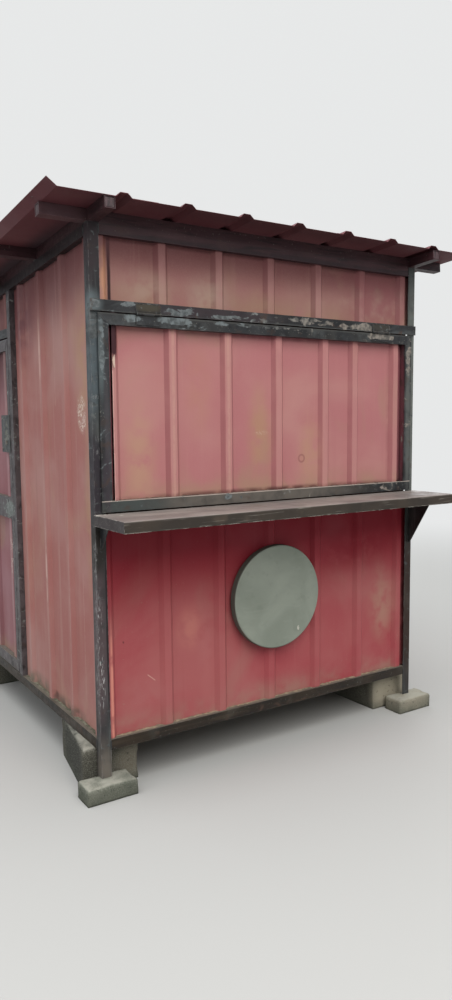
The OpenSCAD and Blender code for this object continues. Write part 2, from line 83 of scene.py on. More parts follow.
ROOF_RIB = 72  # the first rib
ROOF_PITCH = 248
ROOF_RIB_H = 15
PAVER_H = 64


def at(x, y, z):
    """A point of the cabin's frame in millimetres, as metres in the row frame."""
    return Vector(((x - ORIGIN_X) / 1000, (y - ORIGIN_Y) / 1000, z / 1000))


def on_roof(x, y, z):
    """A point of the sloping roof's frame: y down the fall, z off the frame's top plane."""
    cos, sin = math.cos(ROOF_TILT), math.sin(ROOF_TILT)
    return at(x, y * cos + z * sin, FRAME_TOP - y * sin + z * cos)


def linear(code):
    """A hex colour as linear RGBA."""
    parts = [int(code[i:i + 2], 16) / 255 for i in (1, 3, 5)]
    return tuple(c / 12.92 if c <= 0.04045 else ((c + 0.055) / 1.055) ** 2.4 for c in parts) + (1,)


def wave(x, y, z=0):
    """Smooth noise, from -1 to 1."""
    return noise.noise(Vector((x, y, z)))


class Shader:
    """A material, with short calls for the nodes that it uses."""

    def __init__(self, name, seed=0.0, roughness=0.6, metallic=0.0, specular=0.4):
        self.seed = seed
        self.colour = None
        self.mat = bpy.data.materials.new(name)
        self.mat.use_nodes = True
        self.tree = self.mat.node_tree
        self.tree.nodes.clear()
        self.out = self.add("ShaderNodeOutputMaterial")
        self.bsdf = self.add("ShaderNodeBsdfPrincipled")
        self.put(self.out.inputs[0], self.bsdf.outputs[0])
        self.bsdf.inputs["Roughness"].default_value = roughness
        self.bsdf.inputs["Metallic"].default_value = metallic
        self.bsdf.inputs["Specular IOR Level"].default_value = specular
        coords = self.add("ShaderNodeTexCoord")
        self.place = coords.outputs["Object"]
        self.facing = coords.outputs["Normal"]

    def add(self, kind, **props):
        node = self.tree.nodes.new(kind)
        for key, value in props.items():
            setattr(node, key, value)
        return node

    def put(self, socket, value):
        if isinstance(value, bpy.types.NodeSocket):
            self.tree.links.new(value, socket)
        else:
            socket.default_value = value

    def math(self, op, a, b=0.0, clamp=False):
        node = self.add("ShaderNodeMath", operation=op, use_clamp=clamp)
        self.put(node.inputs[0], a)
        self.put(node.inputs[1], b)
        return node.outputs[0]

    def times(self, a, b):
        return self.math("MULTIPLY", a, b)

    def highest(self, a, b):
        return self.math("MAXIMUM", a, b)

    def vector(self, op, a, b=None, scale=None):
        """A number where the operation measures, else a vector."""
        node = self.add("ShaderNodeVectorMath", operation=op)
        for key, value in ((0, a), (1, b), ("Scale", scale)):
            if value is not None:
                self.put(node.inputs[key], value)
        measures = op in ("LENGTH", "DISTANCE", "DOT_PRODUCT")
        return node.outputs["Value" if measures else "Vector"]

    def part(self, vector, axis):
        node = self.add("ShaderNodeSeparateXYZ")
        self.put(node.inputs[0], vector)
        return node.outputs["XYZ".index(axis)]

    def noise(self, scale, detail, number, stretch=(1, 1, 1), distort=0.0, rough=0.5):
        """Noise on the object's place, which is stretched, and shifted by seed and number."""
        seed = self.seed + number
        moved = self.add("ShaderNodeMapping")
        self.put(moved.inputs["Vector"], self.place)
        moved.inputs["Location"].default_value = (seed * 3.71, seed * 1.93, seed * 5.17)
        moved.inputs["Scale"].default_value = stretch
        node = self.add("ShaderNodeTexNoise")
        self.put(node.inputs["Vector"], moved.outputs[0])
        node.inputs["Scale"].default_value = scale
        node.inputs["Detail"].default_value = detail
        node.inputs["Roughness"].default_value = rough
        node.inputs["Distortion"].default_value = distort
        return node.outputs[0]

    def ramp(self, value, start, end, low=0.0, high=1.0):
        """Low where the value is at start, high where it is at end, smooth between."""
        node = self.add("ShaderNodeMapRange", interpolation_type="SMOOTHSTEP")
        self.put(node.inputs[0], value)
        for i, number in enumerate((start, end, low, high), 1):
            node.inputs[i].default_value = number
        return node.outputs[0]

    def mix(self, share, a, b):
        """Colour a where share is 0, and b where it is 1."""
        node = self.add("ShaderNodeMix", data_type="RGBA")
        self.put(node.inputs[0], share)
        self.put(node.inputs[6], linear(a) if isinstance(a, str) else a)
        self.put(node.inputs[7], linear(b) if isinstance(b, str) else b)
        return node.outputs[2]

    def spot(self, centre, radii, core=0.3):
        """A soft ellipsoid round a point of the cabin's frame, 1 at its core and 0 outside."""
        away = self.vector("SUBTRACT", self.place, at(*centre))
        flat = self.vector("MULTIPLY", away, [1000 / r for r in radii])
        return self.ramp(self.vector("LENGTH", flat), core, 1, 1, 0)

    def spots(self, rows):
        """The highest of several spots; a row is (centre, radii, strength)."""
        total = None
        for centre, radii, strength in rows:
            one = self.times(self.spot(centre, radii), strength)
            total = one if total is None else self.highest(total, one)
        return 0.0 if total is None else total

    def line(self, a, b, width):
        """1 within a width in millimetres of the line between two points of the cabin's frame."""
        a, run = at(*a), at(*b) - at(*a)
        away = self.vector("SUBTRACT", self.place, a)
        share = self.vector("DOT_PRODUCT", away, run / run.length_squared)
        foot = self.vector("SCALE", run, scale=self.math("ADD", share, 0.0, clamp=True))
        gap = self.vector("DISTANCE", away, foot)
        return self.ramp(gap, width * 0.0005, width * 0.001, 1, 0)

    def ring(self, centre, radius, width):
        """1 on a thin ring round a point of the cabin's frame."""
        gap = self.vector("DISTANCE", self.place, at(*centre))
        off = self.math("ABSOLUTE", self.math("SUBTRACT", gap, radius / 1000))
        return self.ramp(off, width * 0.0004, width * 0.001, 1, 0)

    def edges(self, radius):
        """1 on sharp edges: where a bevelled normal leaves the true one."""
        bevel = self.add("ShaderNodeBevel", samples=4)
        bevel.inputs["Radius"].default_value = radius
        true = self.add("ShaderNodeNewGeometry")
        dot = self.vector("DOT_PRODUCT", bevel.outputs[0], true.outputs["Normal"])
        return self.ramp(dot, 0.90, 0.995, 1, 0)

    def lay(self, tint, *masks):
        """Lays a tint over the colour so far, by the product of the masks."""
        share = masks[0]
        for mask in masks[1:]:
            share = self.times(share, mask)
        self.colour = self.mix(share, self.colour, tint)

    def finish(self, roughness=None, height=None, depth=0.001, strength=0.5):
        self.put(self.bsdf.inputs["Base Color"], self.colour)
        if roughness is not None:
            self.put(self.bsdf.inputs["Roughness"], roughness)
        if height is not None:
            bump = self.add("ShaderNodeBump")
            bump.inputs["Strength"].default_value = strength
            bump.inputs["Distance"].default_value = depth
            self.put(bump.inputs["Height"], height)
            self.put(self.bsdf.inputs["Normal"], bump.outputs[0])
        return self.mat


def sheet_paint(name, main, faded, deep, seed, painted_shade_heights=None, dust="#a08a6c", dusty=0.5, streaks=0.4,
                stains=(), scrapes=(), lines=(), rings=(), low=0.2, ribs=None, lit_worn_crest=None,
                flank_shade=None, rib_shading=0.6, gloom=0.5, underside_shade=()):
    """Chalky coating on ribbed sheet: faded fields, rain streaks, dust blotches, stains, scrapes.

    ribs holds the axis that points out of the wall, the pans' place on it and the crests'; flank is
    painted shade on the ribs' sides, crest a lighter tone on their tops, part painted highlight and
    part worn paint, and relief their share.
    painted_shade_heights holds the heights, at the front, between which painted shade in the deep
    tone sets in: the eaves' shade, and on the lower front sheet the counter's shade; gloom is its
    share over the stains.
    under holds painted shade on the underside, and low is where the dusty foot ends.
    Some of the stains and lines are painted shade and painted highlights too.
    """
    s = Shader(name, seed, specular=0.32)
    height = s.part(s.place, "Z")
    from_front = s.math("ADD", s.part(s.place, "Y"), ORIGIN_Y / 1000)
    under_roof = s.math("ADD", height, s.times(from_front, ROOF_DROP / DEPTH))
    field = s.ramp(s.noise(2.1, 4, 0, distort=0.4), 0.36, 0.66)
    s.colour = s.mix(field, main, faded)
    # Painted shade: the deep tone grows towards the top, for the eaves' shade, and on the lower
    # front sheet for the counter's shade.
    if painted_shade_heights:
        s.lay(deep, s.ramp(under_roof, *painted_shade_heights))
    run = s.noise(1.0, 5, 1, (30, 30, 0.9), rough=0.62)
    s.lay(faded, s.ramp(run, 0.54, 0.72), streaks)
    shade = s.noise(1.0, 3, 2, (46, 46, 1.3))
    s.lay(deep, s.ramp(shade, 0.55, 0.78), 0.3 * streaks)
    blotch = s.ramp(s.noise(3.6, 4, 3, (1, 1, 0.62), 0.8), 0.52, 0.74)
    s.lay(dust, blotch, dusty)
    fine = s.noise(240, 2, 4)
    s.lay(faded, s.ramp(fine, 0.35, 0.7, 0.0, 0.16))
    pits = s.ramp(s.noise(95, 3, 5), 0.70, 0.76)
    s.lay(dust, pits, 0.35)
    foot = s.ramp(height, low, low + 0.12, 1, 0)
    s.lay(dust, foot, s.ramp(s.noise(9, 4, 6), 0.3, 0.62), 0.55)
    # Painted shade on faces that turn down: darker places of the underside.
    for centre, radii, tint, share in underside_shade:
        below = s.ramp(s.part(s.facing, "Z"), -0.5, -0.2, share, 0)
        s.lay(tint, s.spot(centre, radii, 0.1), below)
    # Painted shade on the ribs' sides, stronger on sides that turn to the left (to the front, on
    # the side walls), and on their tops a lighter tone, part painted highlight and part worn paint.
    if ribs:
        out, pan, top = ribs
        depth = s.part(s.place, out)
        slant = s.math("SUBTRACT", 1.0, s.math("ABSOLUTE", s.part(s.facing, out)))
        on_flank = s.ramp(slant, 0.08, 0.22)
        on_flank = s.times(on_flank, s.ramp(s.noise(7, 4, 11), 0.2, 0.55, 0.6, 1))
        turned = s.part(s.facing, "X" if out == "Y" else "Y")
        s.lay(flank_shade, on_flank, s.ramp(turned, 0.0, 0.2, 1, 0.35), rib_shading)
        share = s.math("DIVIDE", s.math("SUBTRACT", depth, pan), top - pan)
        on_crest = s.ramp(share, 0.8, 1.0)
        worn = s.ramp(s.noise(24, 4, 12, (1, 1, 0.4)), 0.25, 0.6, 0.4, 1)
        s.lay(lit_worn_crest, on_crest, worn, rib_shading)
    for centre, radii, tint, share in stains:
        s.lay(tint, s.spot(centre, radii, 0.1), s.ramp(s.noise(14, 4, 7), 0.25, 0.6), share)
    for a, b, width, tint, share in lines:
        broken = s.ramp(s.noise(60, 4, 13), 0.36, 0.5, 0.35, 1)
        s.lay(tint, s.line(a, b, width), broken, share)
    for centre, radius, width, tint, share in rings:
        s.lay(tint, s.ring(centre, radius, width), share)
    # More of the same painted shade towards the top, laid over the stains and ribs at the share
    # gloom.
    if painted_shade_heights:
        s.lay(deep, s.ramp(under_roof, *painted_shade_heights), gloom)
    if scrapes:
        torn = s.ramp(s.noise(300, 4, 8, (1, 1, 0.3), 0.1, 0.7), 0.50, 0.57)
        torn = s.times(torn, s.ramp(s.noise(34, 3, 14), 0.40, 0.56, 0.15, 1))
        s.lay("#e0d2c4", torn, s.spots(scrapes))
    rough = s.ramp(s.noise(5, 4, 9), 0.3, 0.7, 0.5, 0.72)
    sway = s.noise(3.3, 2, 10, (1, 1, 0.5))
    height = s.math("ADD", s.times(sway, 6.0), s.times(fine, 0.06))
    return s.finish(rough, height, depth=0.0012, strength=0.55)


def frame_paint(name, seed, patches=(), scratches=(), tints=(), dust=0.6, edge=0.3, rust=0.4,
                body="#1a1b1d", worn="#2b2c2e", pale="#4b4f50", bare=("#55564f", "#74736a"),
                grain=(1, 1, 1.7), along=(60, 60, 5), ledge="#7d7567", bare_right=None):
    """Black enamel on steel: brushed wear, peeled patches, long scratches, dusty ledges, rust.

    along stretches the brushing, grain the peeled patches. bare and bare_right are the two
    tones of peeled steel, at the left and at the right of the front. Some tints are painted shade
    and painted light.
    """
    s = Shader(name, seed, specular=0.4)
    s.colour = s.mix(s.ramp(s.noise(4.2, 5, 0, distort=0.3), 0.35, 0.68), body, worn)
    brush = s.noise(1.0, 5, 1, along, 0.5, 0.6)
    s.lay(pale, s.ramp(brush, 0.47, 0.7, 0, 0.75))
    bald = s.noise(1.0, 4, 10, [v * 1.8 for v in along], 0.4)
    s.lay("#0d0d0f", s.ramp(bald, 0.5, 0.68, 0, 0.6))
    flecks = s.ramp(s.noise(150, 3, 11), 0.67, 0.71)
    s.lay("#8f8e84", flecks, 0.5)
    coarse = s.noise(38, 6, 2, rough=0.62)
    # Tints: tone and wear, and at some given places painted shade and painted light.
    for centre, radii, tint, share in tints:
        worn_off = s.ramp(s.noise(16, 4, 12), 0.2, 0.55, 0.35, 1)
        s.lay(tint, s.spot(centre, radii), worn_off, share)
    chips = s.times(s.times(s.edges(0.0035), s.ramp(coarse, 0.46, 0.56)), edge)
    if scratches:
        hair = s.ramp(s.noise(1.0, 4, 3, (400, 400, 34), 0.3, 0.65), 0.545, 0.60)
        hair = s.times(hair, s.ramp(s.noise(1.0, 4, 13, (60, 60, 22)), 0.40, 0.52))
        chips = s.highest(chips, s.times(hair, s.spots(scratches)))
    peeled = 0.0
    if patches:
        cover = s.noise(26, 6, 4, grain, 0.7, 0.62)
        cover = s.math("ADD", cover, s.times(s.spots(patches), 0.2))
        peeled = s.ramp(cover, 0.60, 0.66)
        mottle = s.ramp(s.noise(60, 5, 5), 0.35, 0.65)
        tone = s.mix(mottle, *bare)
        if bare_right:
            tone = s.mix(s.ramp(s.part(s.place, "X"), -0.3, 0.3), tone, s.mix(mottle, *bare_right))
        s.lay(tone, peeled)
    s.lay("#47342a", s.ramp(s.noise(17, 5, 6, distort=0.5), 0.6, 0.72), rust)
    tip = "#e6e6e8" if scratches else "#a7a59d"
    s.lay(s.mix(s.noise(60, 2, 7), tip, "#85817a"), chips)
    up = s.ramp(s.part(s.facing, "Z"), 0.55, 0.9)
    grime = s.times(up, s.ramp(s.noise(11, 5, 8, distort=0.3), 0.2, 0.6, 0.45, 1))
    s.lay(ledge, grime, dust)
    s.lay("#6a675e", s.ramp(s.noise(6.5, 5, 9, distort=0.6), 0.5, 0.8), 0.3 * dust)
    rough = s.math("ADD", s.ramp(coarse, 0.3, 0.7, 0.38, 0.55), s.times(grime, 0.3), clamp=True)
    height = s.times(coarse, 0.5)
    loss = s.math("ADD", s.times(chips, 0.5), s.times(peeled, 0.6))
    height = s.math("SUBTRACT", height, loss)
    return s.finish(rough, height, depth=0.0008, strength=0.6)


def worn_steel(name, seed, top, side, scuffs):
    """Dull steel plate with a dusty top face and bright scuffs."""
    s = Shader(name, seed, specular=0.5)
    up = s.ramp(s.part(s.facing, "Z"), 0.5, 0.9)
    face = s.mix(s.ramp(s.noise(3.0, 5, 0, (1, 2.2, 1), 0.5), 0.35, 0.68), *top)
    edge = s.mix(s.ramp(s.noise(6.0, 5, 1), 0.35, 0.68), *side)
    s.colour = s.mix(up, edge, face)
    ends = s.ramp(s.math("ABSOLUTE", s.part(s.facing, "X")), 0.5, 0.9)
    s.lay("#383133", ends, 0.8)
    rub = s.ramp(s.noise(1.0, 5, 2, (6, 160, 160), 0.3, 0.65), 0.58, 0.66)
    s.lay("#a39d93", rub, 0.35)
    stain = s.ramp(s.noise(9, 5, 3, distort=0.7), 0.58, 0.72)
    s.lay("#584a3d", stain, 0.45)
    chips = s.times(s.edges(0.004), s.ramp(s.noise(30, 5, 4), 0.44, 0.58))
    flecks = s.ramp(s.noise(95, 4, 5), 0.5, 0.57)
    chips = s.highest(chips, s.times(flecks, s.spots(scuffs)))
    s.lay("#bdb8ae", chips, 0.85)
    rough = s.ramp(s.noise(13, 4, 6), 0.3, 0.7, 0.42, 0.68)
    return s.finish(rough, s.noise(45, 4, 7), depth=0.0006)


def matt_disc(name, seed):
    """Grey-green paint with smears, tiny pits and a dusty film."""
    s = Shader(name, seed, specular=0.35)
    s.colour = s.mix(s.ramp(s.noise(5.5, 4, 0, distort=0.5), 0.3, 0.7), "#868d81", "#969c90")
    smear = s.ramp(s.noise(1.0, 4, 1, (9, 9, 34), 0.8), 0.56, 0.74)
    s.lay("#9a9e92", smear, 0.25)
    dirt = s.ramp(s.noise(22, 5, 2), 0.58, 0.70)
    s.lay("#676c61", dirt, 0.16)
    chip = s.ramp(s.noise(200, 3, 3), 0.40, 0.45)
    s.lay("#d8d3c6", chip, s.spot((905, -27, 500), (7, 12, 14), 0.6))
    side = s.math("ABSOLUTE", s.part(s.facing, "Y"))
    s.lay("#34362f", s.ramp(side, 0.3, 0.8, 0.75, 0))
    rough = s.ramp(s.noise(16, 3, 4), 0.3, 0.7, 0.5, 0.7)
    return s.finish(rough, s.noise(130, 3, 5), depth=0.0004, strength=0.4)


def rough_concrete(name, seed, pale, dark, tints=()):
    """Weathered concrete: sandy grain, darker damp foot, pale worn tops, pits and stains."""
    s = Shader(name, seed, roughness=0.9, specular=0.2)
    s.colour = s.mix(s.ramp(s.noise(9, 6, 0, distort=0.3, rough=0.6), 0.34, 0.66), dark, pale)
    for centre, radii, tint, share in tints:
        s.lay(tint, s.spot(centre, radii), share)
    sand = s.noise(260, 3, 1)
    s.lay("#b5b3a8", s.ramp(sand, 0.4, 0.75, 0, 0.35))
    pits = s.ramp(s.noise(70, 4, 2), 0.62, 0.68)
    s.lay("#4c4d45", pits, 0.6)
    up = s.ramp(s.part(s.facing, "Z"), 0.5, 0.95)
    s.lay("#a6a498", up, s.ramp(s.noise(20, 5, 3), 0.3, 0.6, 0.2, 0.75))
    damp = s.ramp(s.part(s.place, "Z"), 0.0, 0.05, 1, 0)
    s.lay("#5b5d52", damp, s.ramp(s.noise(14, 4, 4), 0.3, 0.6, 0.2, 0.7))
    height = s.math("ADD", s.times(sand, 0.25), s.math("SUBTRACT", s.noise(48, 6, 5), pits))
    return s.finish(None, height, depth=0.002, strength=0.7)


def plywood(name, seed):
    """Worn plywood with grain along x."""
    s = Shader(name, seed, roughness=0.75, specular=0.25)
    grain = s.noise(1.0, 6, 0, (4, 60, 60), 1.2, 0.6)
    s.colour = s.mix(s.ramp(grain, 0.3, 0.7), "#6e5538", "#a58a62")
    s.lay("#77705f", s.ramp(s.noise(5, 5, 1), 0.45, 0.7), 0.6)
    return s.finish(None, grain, depth=0.0008)


def dust_heap(name, seed, pale, dark):
    """Settled grit."""
    s = Shader(name, seed, roughness=0.95, specular=0.1)
    s.colour = s.mix(s.ramp(s.noise(55, 5, 0), 0.35, 0.65), dark, pale)
    s.lay("#5a4a3c", s.ramp(s.noise(300, 2, 1), 0.62, 0.7))
    return s.finish(None, s.noise(220, 3, 2), strength=0.6)


def zinc(name, seed):
    """Weathered zinc fastener."""
    s = Shader(name, seed, metallic=0.6, specular=0.5)
    s.colour = s.mix(s.ramp(s.noise(90, 4, 0), 0.4, 0.65), "#8d8b86", "#5c5148")
    return s.finish(s.ramp(s.noise(60, 3, 1), 0.3, 0.7, 0.4, 0.7))


def piece(name, bm, material, body, smooth=False):
    """Makes an object of a bmesh, which rides on a body of the frame."""
    mesh = bpy.data.meshes.new(name)
    bmesh.ops.recalc_face_normals(bm, faces=bm.faces[:])
    bm.to_mesh(mesh)
    bm.free()
    obj = bpy.data.objects.new(name, mesh)
    bpy.context.scene.collection.objects.link(obj)
    mesh.materials.append(material)
    for face in mesh.polygons:
        face.use_smooth = smooth
    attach(obj, body)
    return obj


def paint(material, *names):
    """Gives CAD nodes a material."""
    for name in names:
        obj = nodes[name]
        if not obj.material_slots:
            obj.data.materials.append(material)
        for holder in obj.material_slots:
            holder.material = material


def circle(sides):
    """Angles evenly round a circle."""
    return [2 * math.pi * k / sides for k in range(sides)]


def skin(bm, rings):
    """Faces between closed rings of vertices, and a cap at each end."""
    for a, b in zip(rings, rings[1:]):
        for k in range(len(a)):
            n = (k + 1) % len(a)
            bm.faces.new((a[k], a[n], b[n], b[k]))
    bm.faces.new(rings[0])
    bm.faces.new(rings[-1])


def bead(bm, start, end, radius, seed):
    """A rippled weld bead between two points of the row frame, radius in millimetres."""
    radius /= 1000
    run = end - start
    steps = max(4, int(run.length / (radius * 0.7)))
    along = run.normalized()
    side = along.orthogonal().normalized()
    other = along.cross(side)
    rings = []
    for i in range(steps + 1):
        t = i / steps
        ends = min(1.0, 0.45 + 3.5 * min(t, 1 - t))
        ripple = 1 + 0.16 * math.sin(i * 2.1 + seed) + 0.22 * wave(i * 0.37, seed)
        drift = radius * 0.25 * wave(i * 0.21, 7, seed)
        centre = start + run * t + side * drift
        rings.append([
            bm.verts.new(
                centre + (side * math.cos(a) + other * math.sin(a)) * radius * ends * ripple)
            for a in circle(7)
        ])
    skin(bm, rings)


def lathe(bm, base, axis, outline, sides, turn=0.0):
    """A turned form on an axis: outline rows are (radius, height) in millimetres."""
    spin = Vector((0, 0, 1)).rotation_difference(axis).to_matrix() @ Matrix.Rotation(turn, 3, "Z")
    rings = []
    for radius, height in outline:
        rings.append([
            bm.verts.new(base + spin @ Vector((radius * math.cos(a), radius * math.sin(a), height))
                         / 1000)
            for a in circle(sides)
        ])
    skin(bm, rings)


def hex_head(bm, base, axis, across, height, washer, turn):
    """A hexagon head with a chamfer, on a domed washer."""
    lathe(bm, base, axis, [(washer, 0), (washer, 0.8), (washer * 0.72, 1.8)], 20)
    corner = across / math.sqrt(3)
    head = [(corner, 1.6), (corner, height), (corner * 0.82, height + 0.9)]
    lathe(bm, base, axis, head, 6, turn)


def rough_slab(name, corners, height, bevel, seed, wear, chip, material):
    """A worn block on a four-sided plan, kept inside the bevelled solid of the CAD model."""
    cell = 9.0  # of the mesh, in millimetres
    plan = [Vector(c) for c in corners]
    size_u = (plan[1] - plan[0]).length
    size_v = (plan[3] - plan[0]).length
    nu, nv, nw = (max(3, round(n / cell)) for n in (size_u, size_v, height))
    middle = sum(plan, Vector((0, 0))) / 4

    def point(u, v, w):
        z = height * w
        inset = max(0.0, z - (height - bevel))
        base = (plan[0] * (1 - u) + plan[1] * u) * (1 - v) + (plan[3] * (1 - u) + plan[2] * u) * v
        shrink = Vector((
            (u - 0.5) * 2 * inset * (1 if plan[1].x > plan[0].x else -1),
            (v - 0.5) * 2 * inset * (1 if plan[3].y > plan[0].y else -1)
        ))
        flat = base - shrink
        to_top = min(1.0, 1 - w + 0.001) * height
        gaps = sorted((min(u, 1 - u) * size_u, min(v, 1 - v) * size_v, to_top))
        near_edge = math.exp(-gaps[1] / 14)
        spot = Vector((flat.x, flat.y, z)) / 1000
        big = 0.5 + 0.5 * noise.fractal(spot * 11 + Vector((seed, 0, 0)), 0.9, 2.1, 3)
        small = 0.5 + 0.5 * noise.fractal(spot * 60 + Vector((0, seed, 0)), 0.8, 2.1, 2)
        loss = max(0.0, wear * (0.55 * big + 0.45 * small))
        loss += near_edge * chip * max(0.0, 2.2 * big - 0.7)
        inward = Vector((middle.x - flat.x, middle.y - flat.y))
        reach = max(1e-6, inward.length)
        side_share = 1.0 if min(u, 1 - u) < 1e-6 or min(v, 1 - v) < 1e-6 else 0.0
        flat += inward / reach * loss * side_share
        if w > 0.999:
            z -= min(loss, 0.35 * loss + 6 * near_edge * big)
        return at(flat.x, flat.y, max(0.0, z))

    bm = bmesh.new()
    grid = {}

    def vert(i, j, k):
        if (i, j, k) not in grid:
            grid[i, j, k] = bm.verts.new(point(i / nu, j / nv, k / nw))
        return grid[i, j, k]

    def quad(a, b, c, d):
        bm.faces.new((vert(*a), vert(*b), vert(*c), vert(*d)))

    for i in range(nu):
        for j in range(nv):
            for k in (0, nw):
                quad((i, j, k), (i + 1, j, k), (i + 1, j + 1, k), (i, j + 1, k))
        for k in range(nw):
            for j in (0, nv):
                quad((i, j, k), (i + 1, j, k), (i + 1, j, k + 1), (i, j, k + 1))
    for j in range(nv):
        for k in range(nw):
            for i in (0, nu):
                quad((i, j, k), (i, j + 1, k), (i, j + 1, k + 1), (i, j, k + 1))
    return piece(name, bm, material, "cabin", smooth=True)


def grit_strip(name, start, end, inward, width, height, seed, material, body):
    """Grit that lies along the foot of a sheet: highest at the sheet, ragged at its outer edge."""
    cell, rows = 6.0, 4  # millimetres along the strip, rows across it
    sunk = Vector((0, 0, 0.0002))
    bm = bmesh.new()
    run = end - start
    count = max(2, int(run.length * 1000 / cell))
    lines = []
    for i in range(count + 1):
        foot = start + run * (i / count)
        wide = abs(noise.fractal(foot * 26 + Vector((seed, 0, 0)), 1, 2, 3))
        spread = width * (0.45 + 0.75 * wide)
        tall = height * (0.25 + 1.2 * abs(noise.fractal(foot * 40 + Vector((0, seed, 0)), 1, 2, 3)))
        line = []
        for k in range(rows + 1):
            share = k / rows
            rise = tall * (1 - share) ** 1.5 + 0.12
            out = foot - inward * spread * share / 1000
            line.append(bm.verts.new(out + Vector((0, 0, rise / 1000))))
        line.append(bm.verts.new(foot - inward * spread / 1000 - sunk))
        line.insert(0, bm.verts.new(foot - sunk))
        lines.append(line)
    skin(bm, lines)
    piece(name, bm, material, body, smooth=True)


# Materials. Places and sizes in their tables are millimetres of the cabin's frame:
# stains, under (painted shade of the underside), tints: (centre, radii, colour, share); lines:
# (from, to, width, colour, share);
# rings: (centre, radius, width, colour, share); scrapes, patches, scratches: (centre, radii, share)
FRONT = ("Y", -0.725, -0.740)  # ribs: axis out of the wall; pans and crests in metres
LEFT = ("X", -0.787, -0.802)
flap_red = sheet_paint(
    "flap_red", "#b07072", "#b8827d", "#a35f66", 1.0, dusty=0.42, streaks=0.35, low=1.08,
    ribs=("Y", -0.73, -0.745), lit_worn_crest="#ba8580", flank_shade="#8c5154",
    stains=[
        ((190, 28, 1230), (100, 60, 300), "#b68f76", 0.75),
        ((735, 28, 1330), (85, 60, 260), "#ae866a", 0.8),
        ((1000, 28, 1250), (90, 60, 220), "#b38c6e", 0.55),
        ((450, 28, 1500), (90, 60, 260), "#b27c6e", 0.6),
        # painted shade under the flap's top rail
        ((800, 20, 1722), (900, 40, 26), "#84484c", 0.9),
        ((1465, 20, 1400), (26, 40, 700), "#9a5f60", 0.6),
        ((800, 12, 1096), (1100, 40, 18), "#5d3835", 1.0),
        # painted shade of the slit at the sheet's left edge
        ((84, 5, 1674), (32, 60, 120), "#3d1c22", 2.6)
    ],
    lines=[
        # painted highlights along the ribs' tops
        ((84, 5, 1095), (84, 5, 1560), 3, "#d2a49c", 0.8),
        ((330, 5, 1095), (331, 5, 1715), 7, "#c49a8a", 0.4),
        ((579, 5, 1095), (578, 5, 1715), 7, "#c49a8a", 0.4)
    ],
    rings=[((955, 12, 1219), 17, 5, "#8d5854", 0.6)],
    scrapes=[((745, 28, 1330), (44, 30, 12), 0.5), ((86, 8, 1590), (12, 16, 30), 0.8)])
# Lower front sheet: its deep tone towards the top is painted shade of the counter.
lower_red = sheet_paint(
    "lower_red", "#a6454c", "#b06262", "#8e1b2a", 2.0, painted_shade_heights=(0.58, 0.96), dusty=0.2,
    streaks=0.3, gloom=0.88, dust="#a28b7a", ribs=FRONT, lit_worn_crest="#ac595c", flank_shade="#914046",
    rib_shading=0.22,
    stains=[
        ((399, 25, 570), (90, 60, 130), "#c0766d", 0.9),
        ((470, 25, 480), (60, 60, 240), "#b46a69", 0.8),
        ((1440, 25, 520), (110, 60, 250), "#b28876", 0.75),
        # painted highlight on the first rib beside the left post
        ((55, 10, 360), (11, 40, 360), "#da8c7e", 1.6),
        # painted shade in the gap beside the right post
        ((1575, 25, 600), (26, 40, 900), "#5d2a2e", 0.8),
        # painted shade under the counter's right half, in deeper crimson
        ((1230, 25, 880), (420, 60, 230), "#7a1220", 1.3),
        ((230, 25, 330), (200, 60, 130), "#b06e6c", 0.5)
    ],
    lines=[
        ((210, 25, 413), (240, 25, 387), 2.4, "#d2a296", 0.8),
        ((110, 25, 560), (111, 25, 556), 4, "#3c1a1c", 0.8)
    ])
upper_red = sheet_paint(
    "upper_red", "#9a6a66", "#a68076", "#6c3e3f", 3.0, painted_shade_heights=(1.88, 2.04), dusty=0.45,
    streaks=0.3, low=1.79, dust="#9c8066", ribs=FRONT, lit_worn_crest="#aa7d7a", flank_shade="#744246",
    rib_shading=0.55, gloom=0.6,
    stains=[
        # painted shade along the edge of the sheet's lap
        ((86, 20, 1920), (10, 60, 900), "#2e161c", 1.6),
        # painted highlight on the first rib's top
        ((62, 15, 1880), (24, 60, 220), "#c08c70", 1.4),
        ((240, 25, 1850), (160, 60, 120), "#a88b7c", 0.8),
        ((500, 25, 1850), (150, 60, 120), "#a98f80", 0.75),
        ((750, 25, 1850), (100, 60, 80), "#a0806a", 0.5),
        ((1400, 25, 1900), (400, 60, 300), "#8e5056", 0.7),
        # painted shade in the gap beside the right post
        ((1575, 25, 1920), (30, 40, 200), "#5d3334", 0.6)
    ])
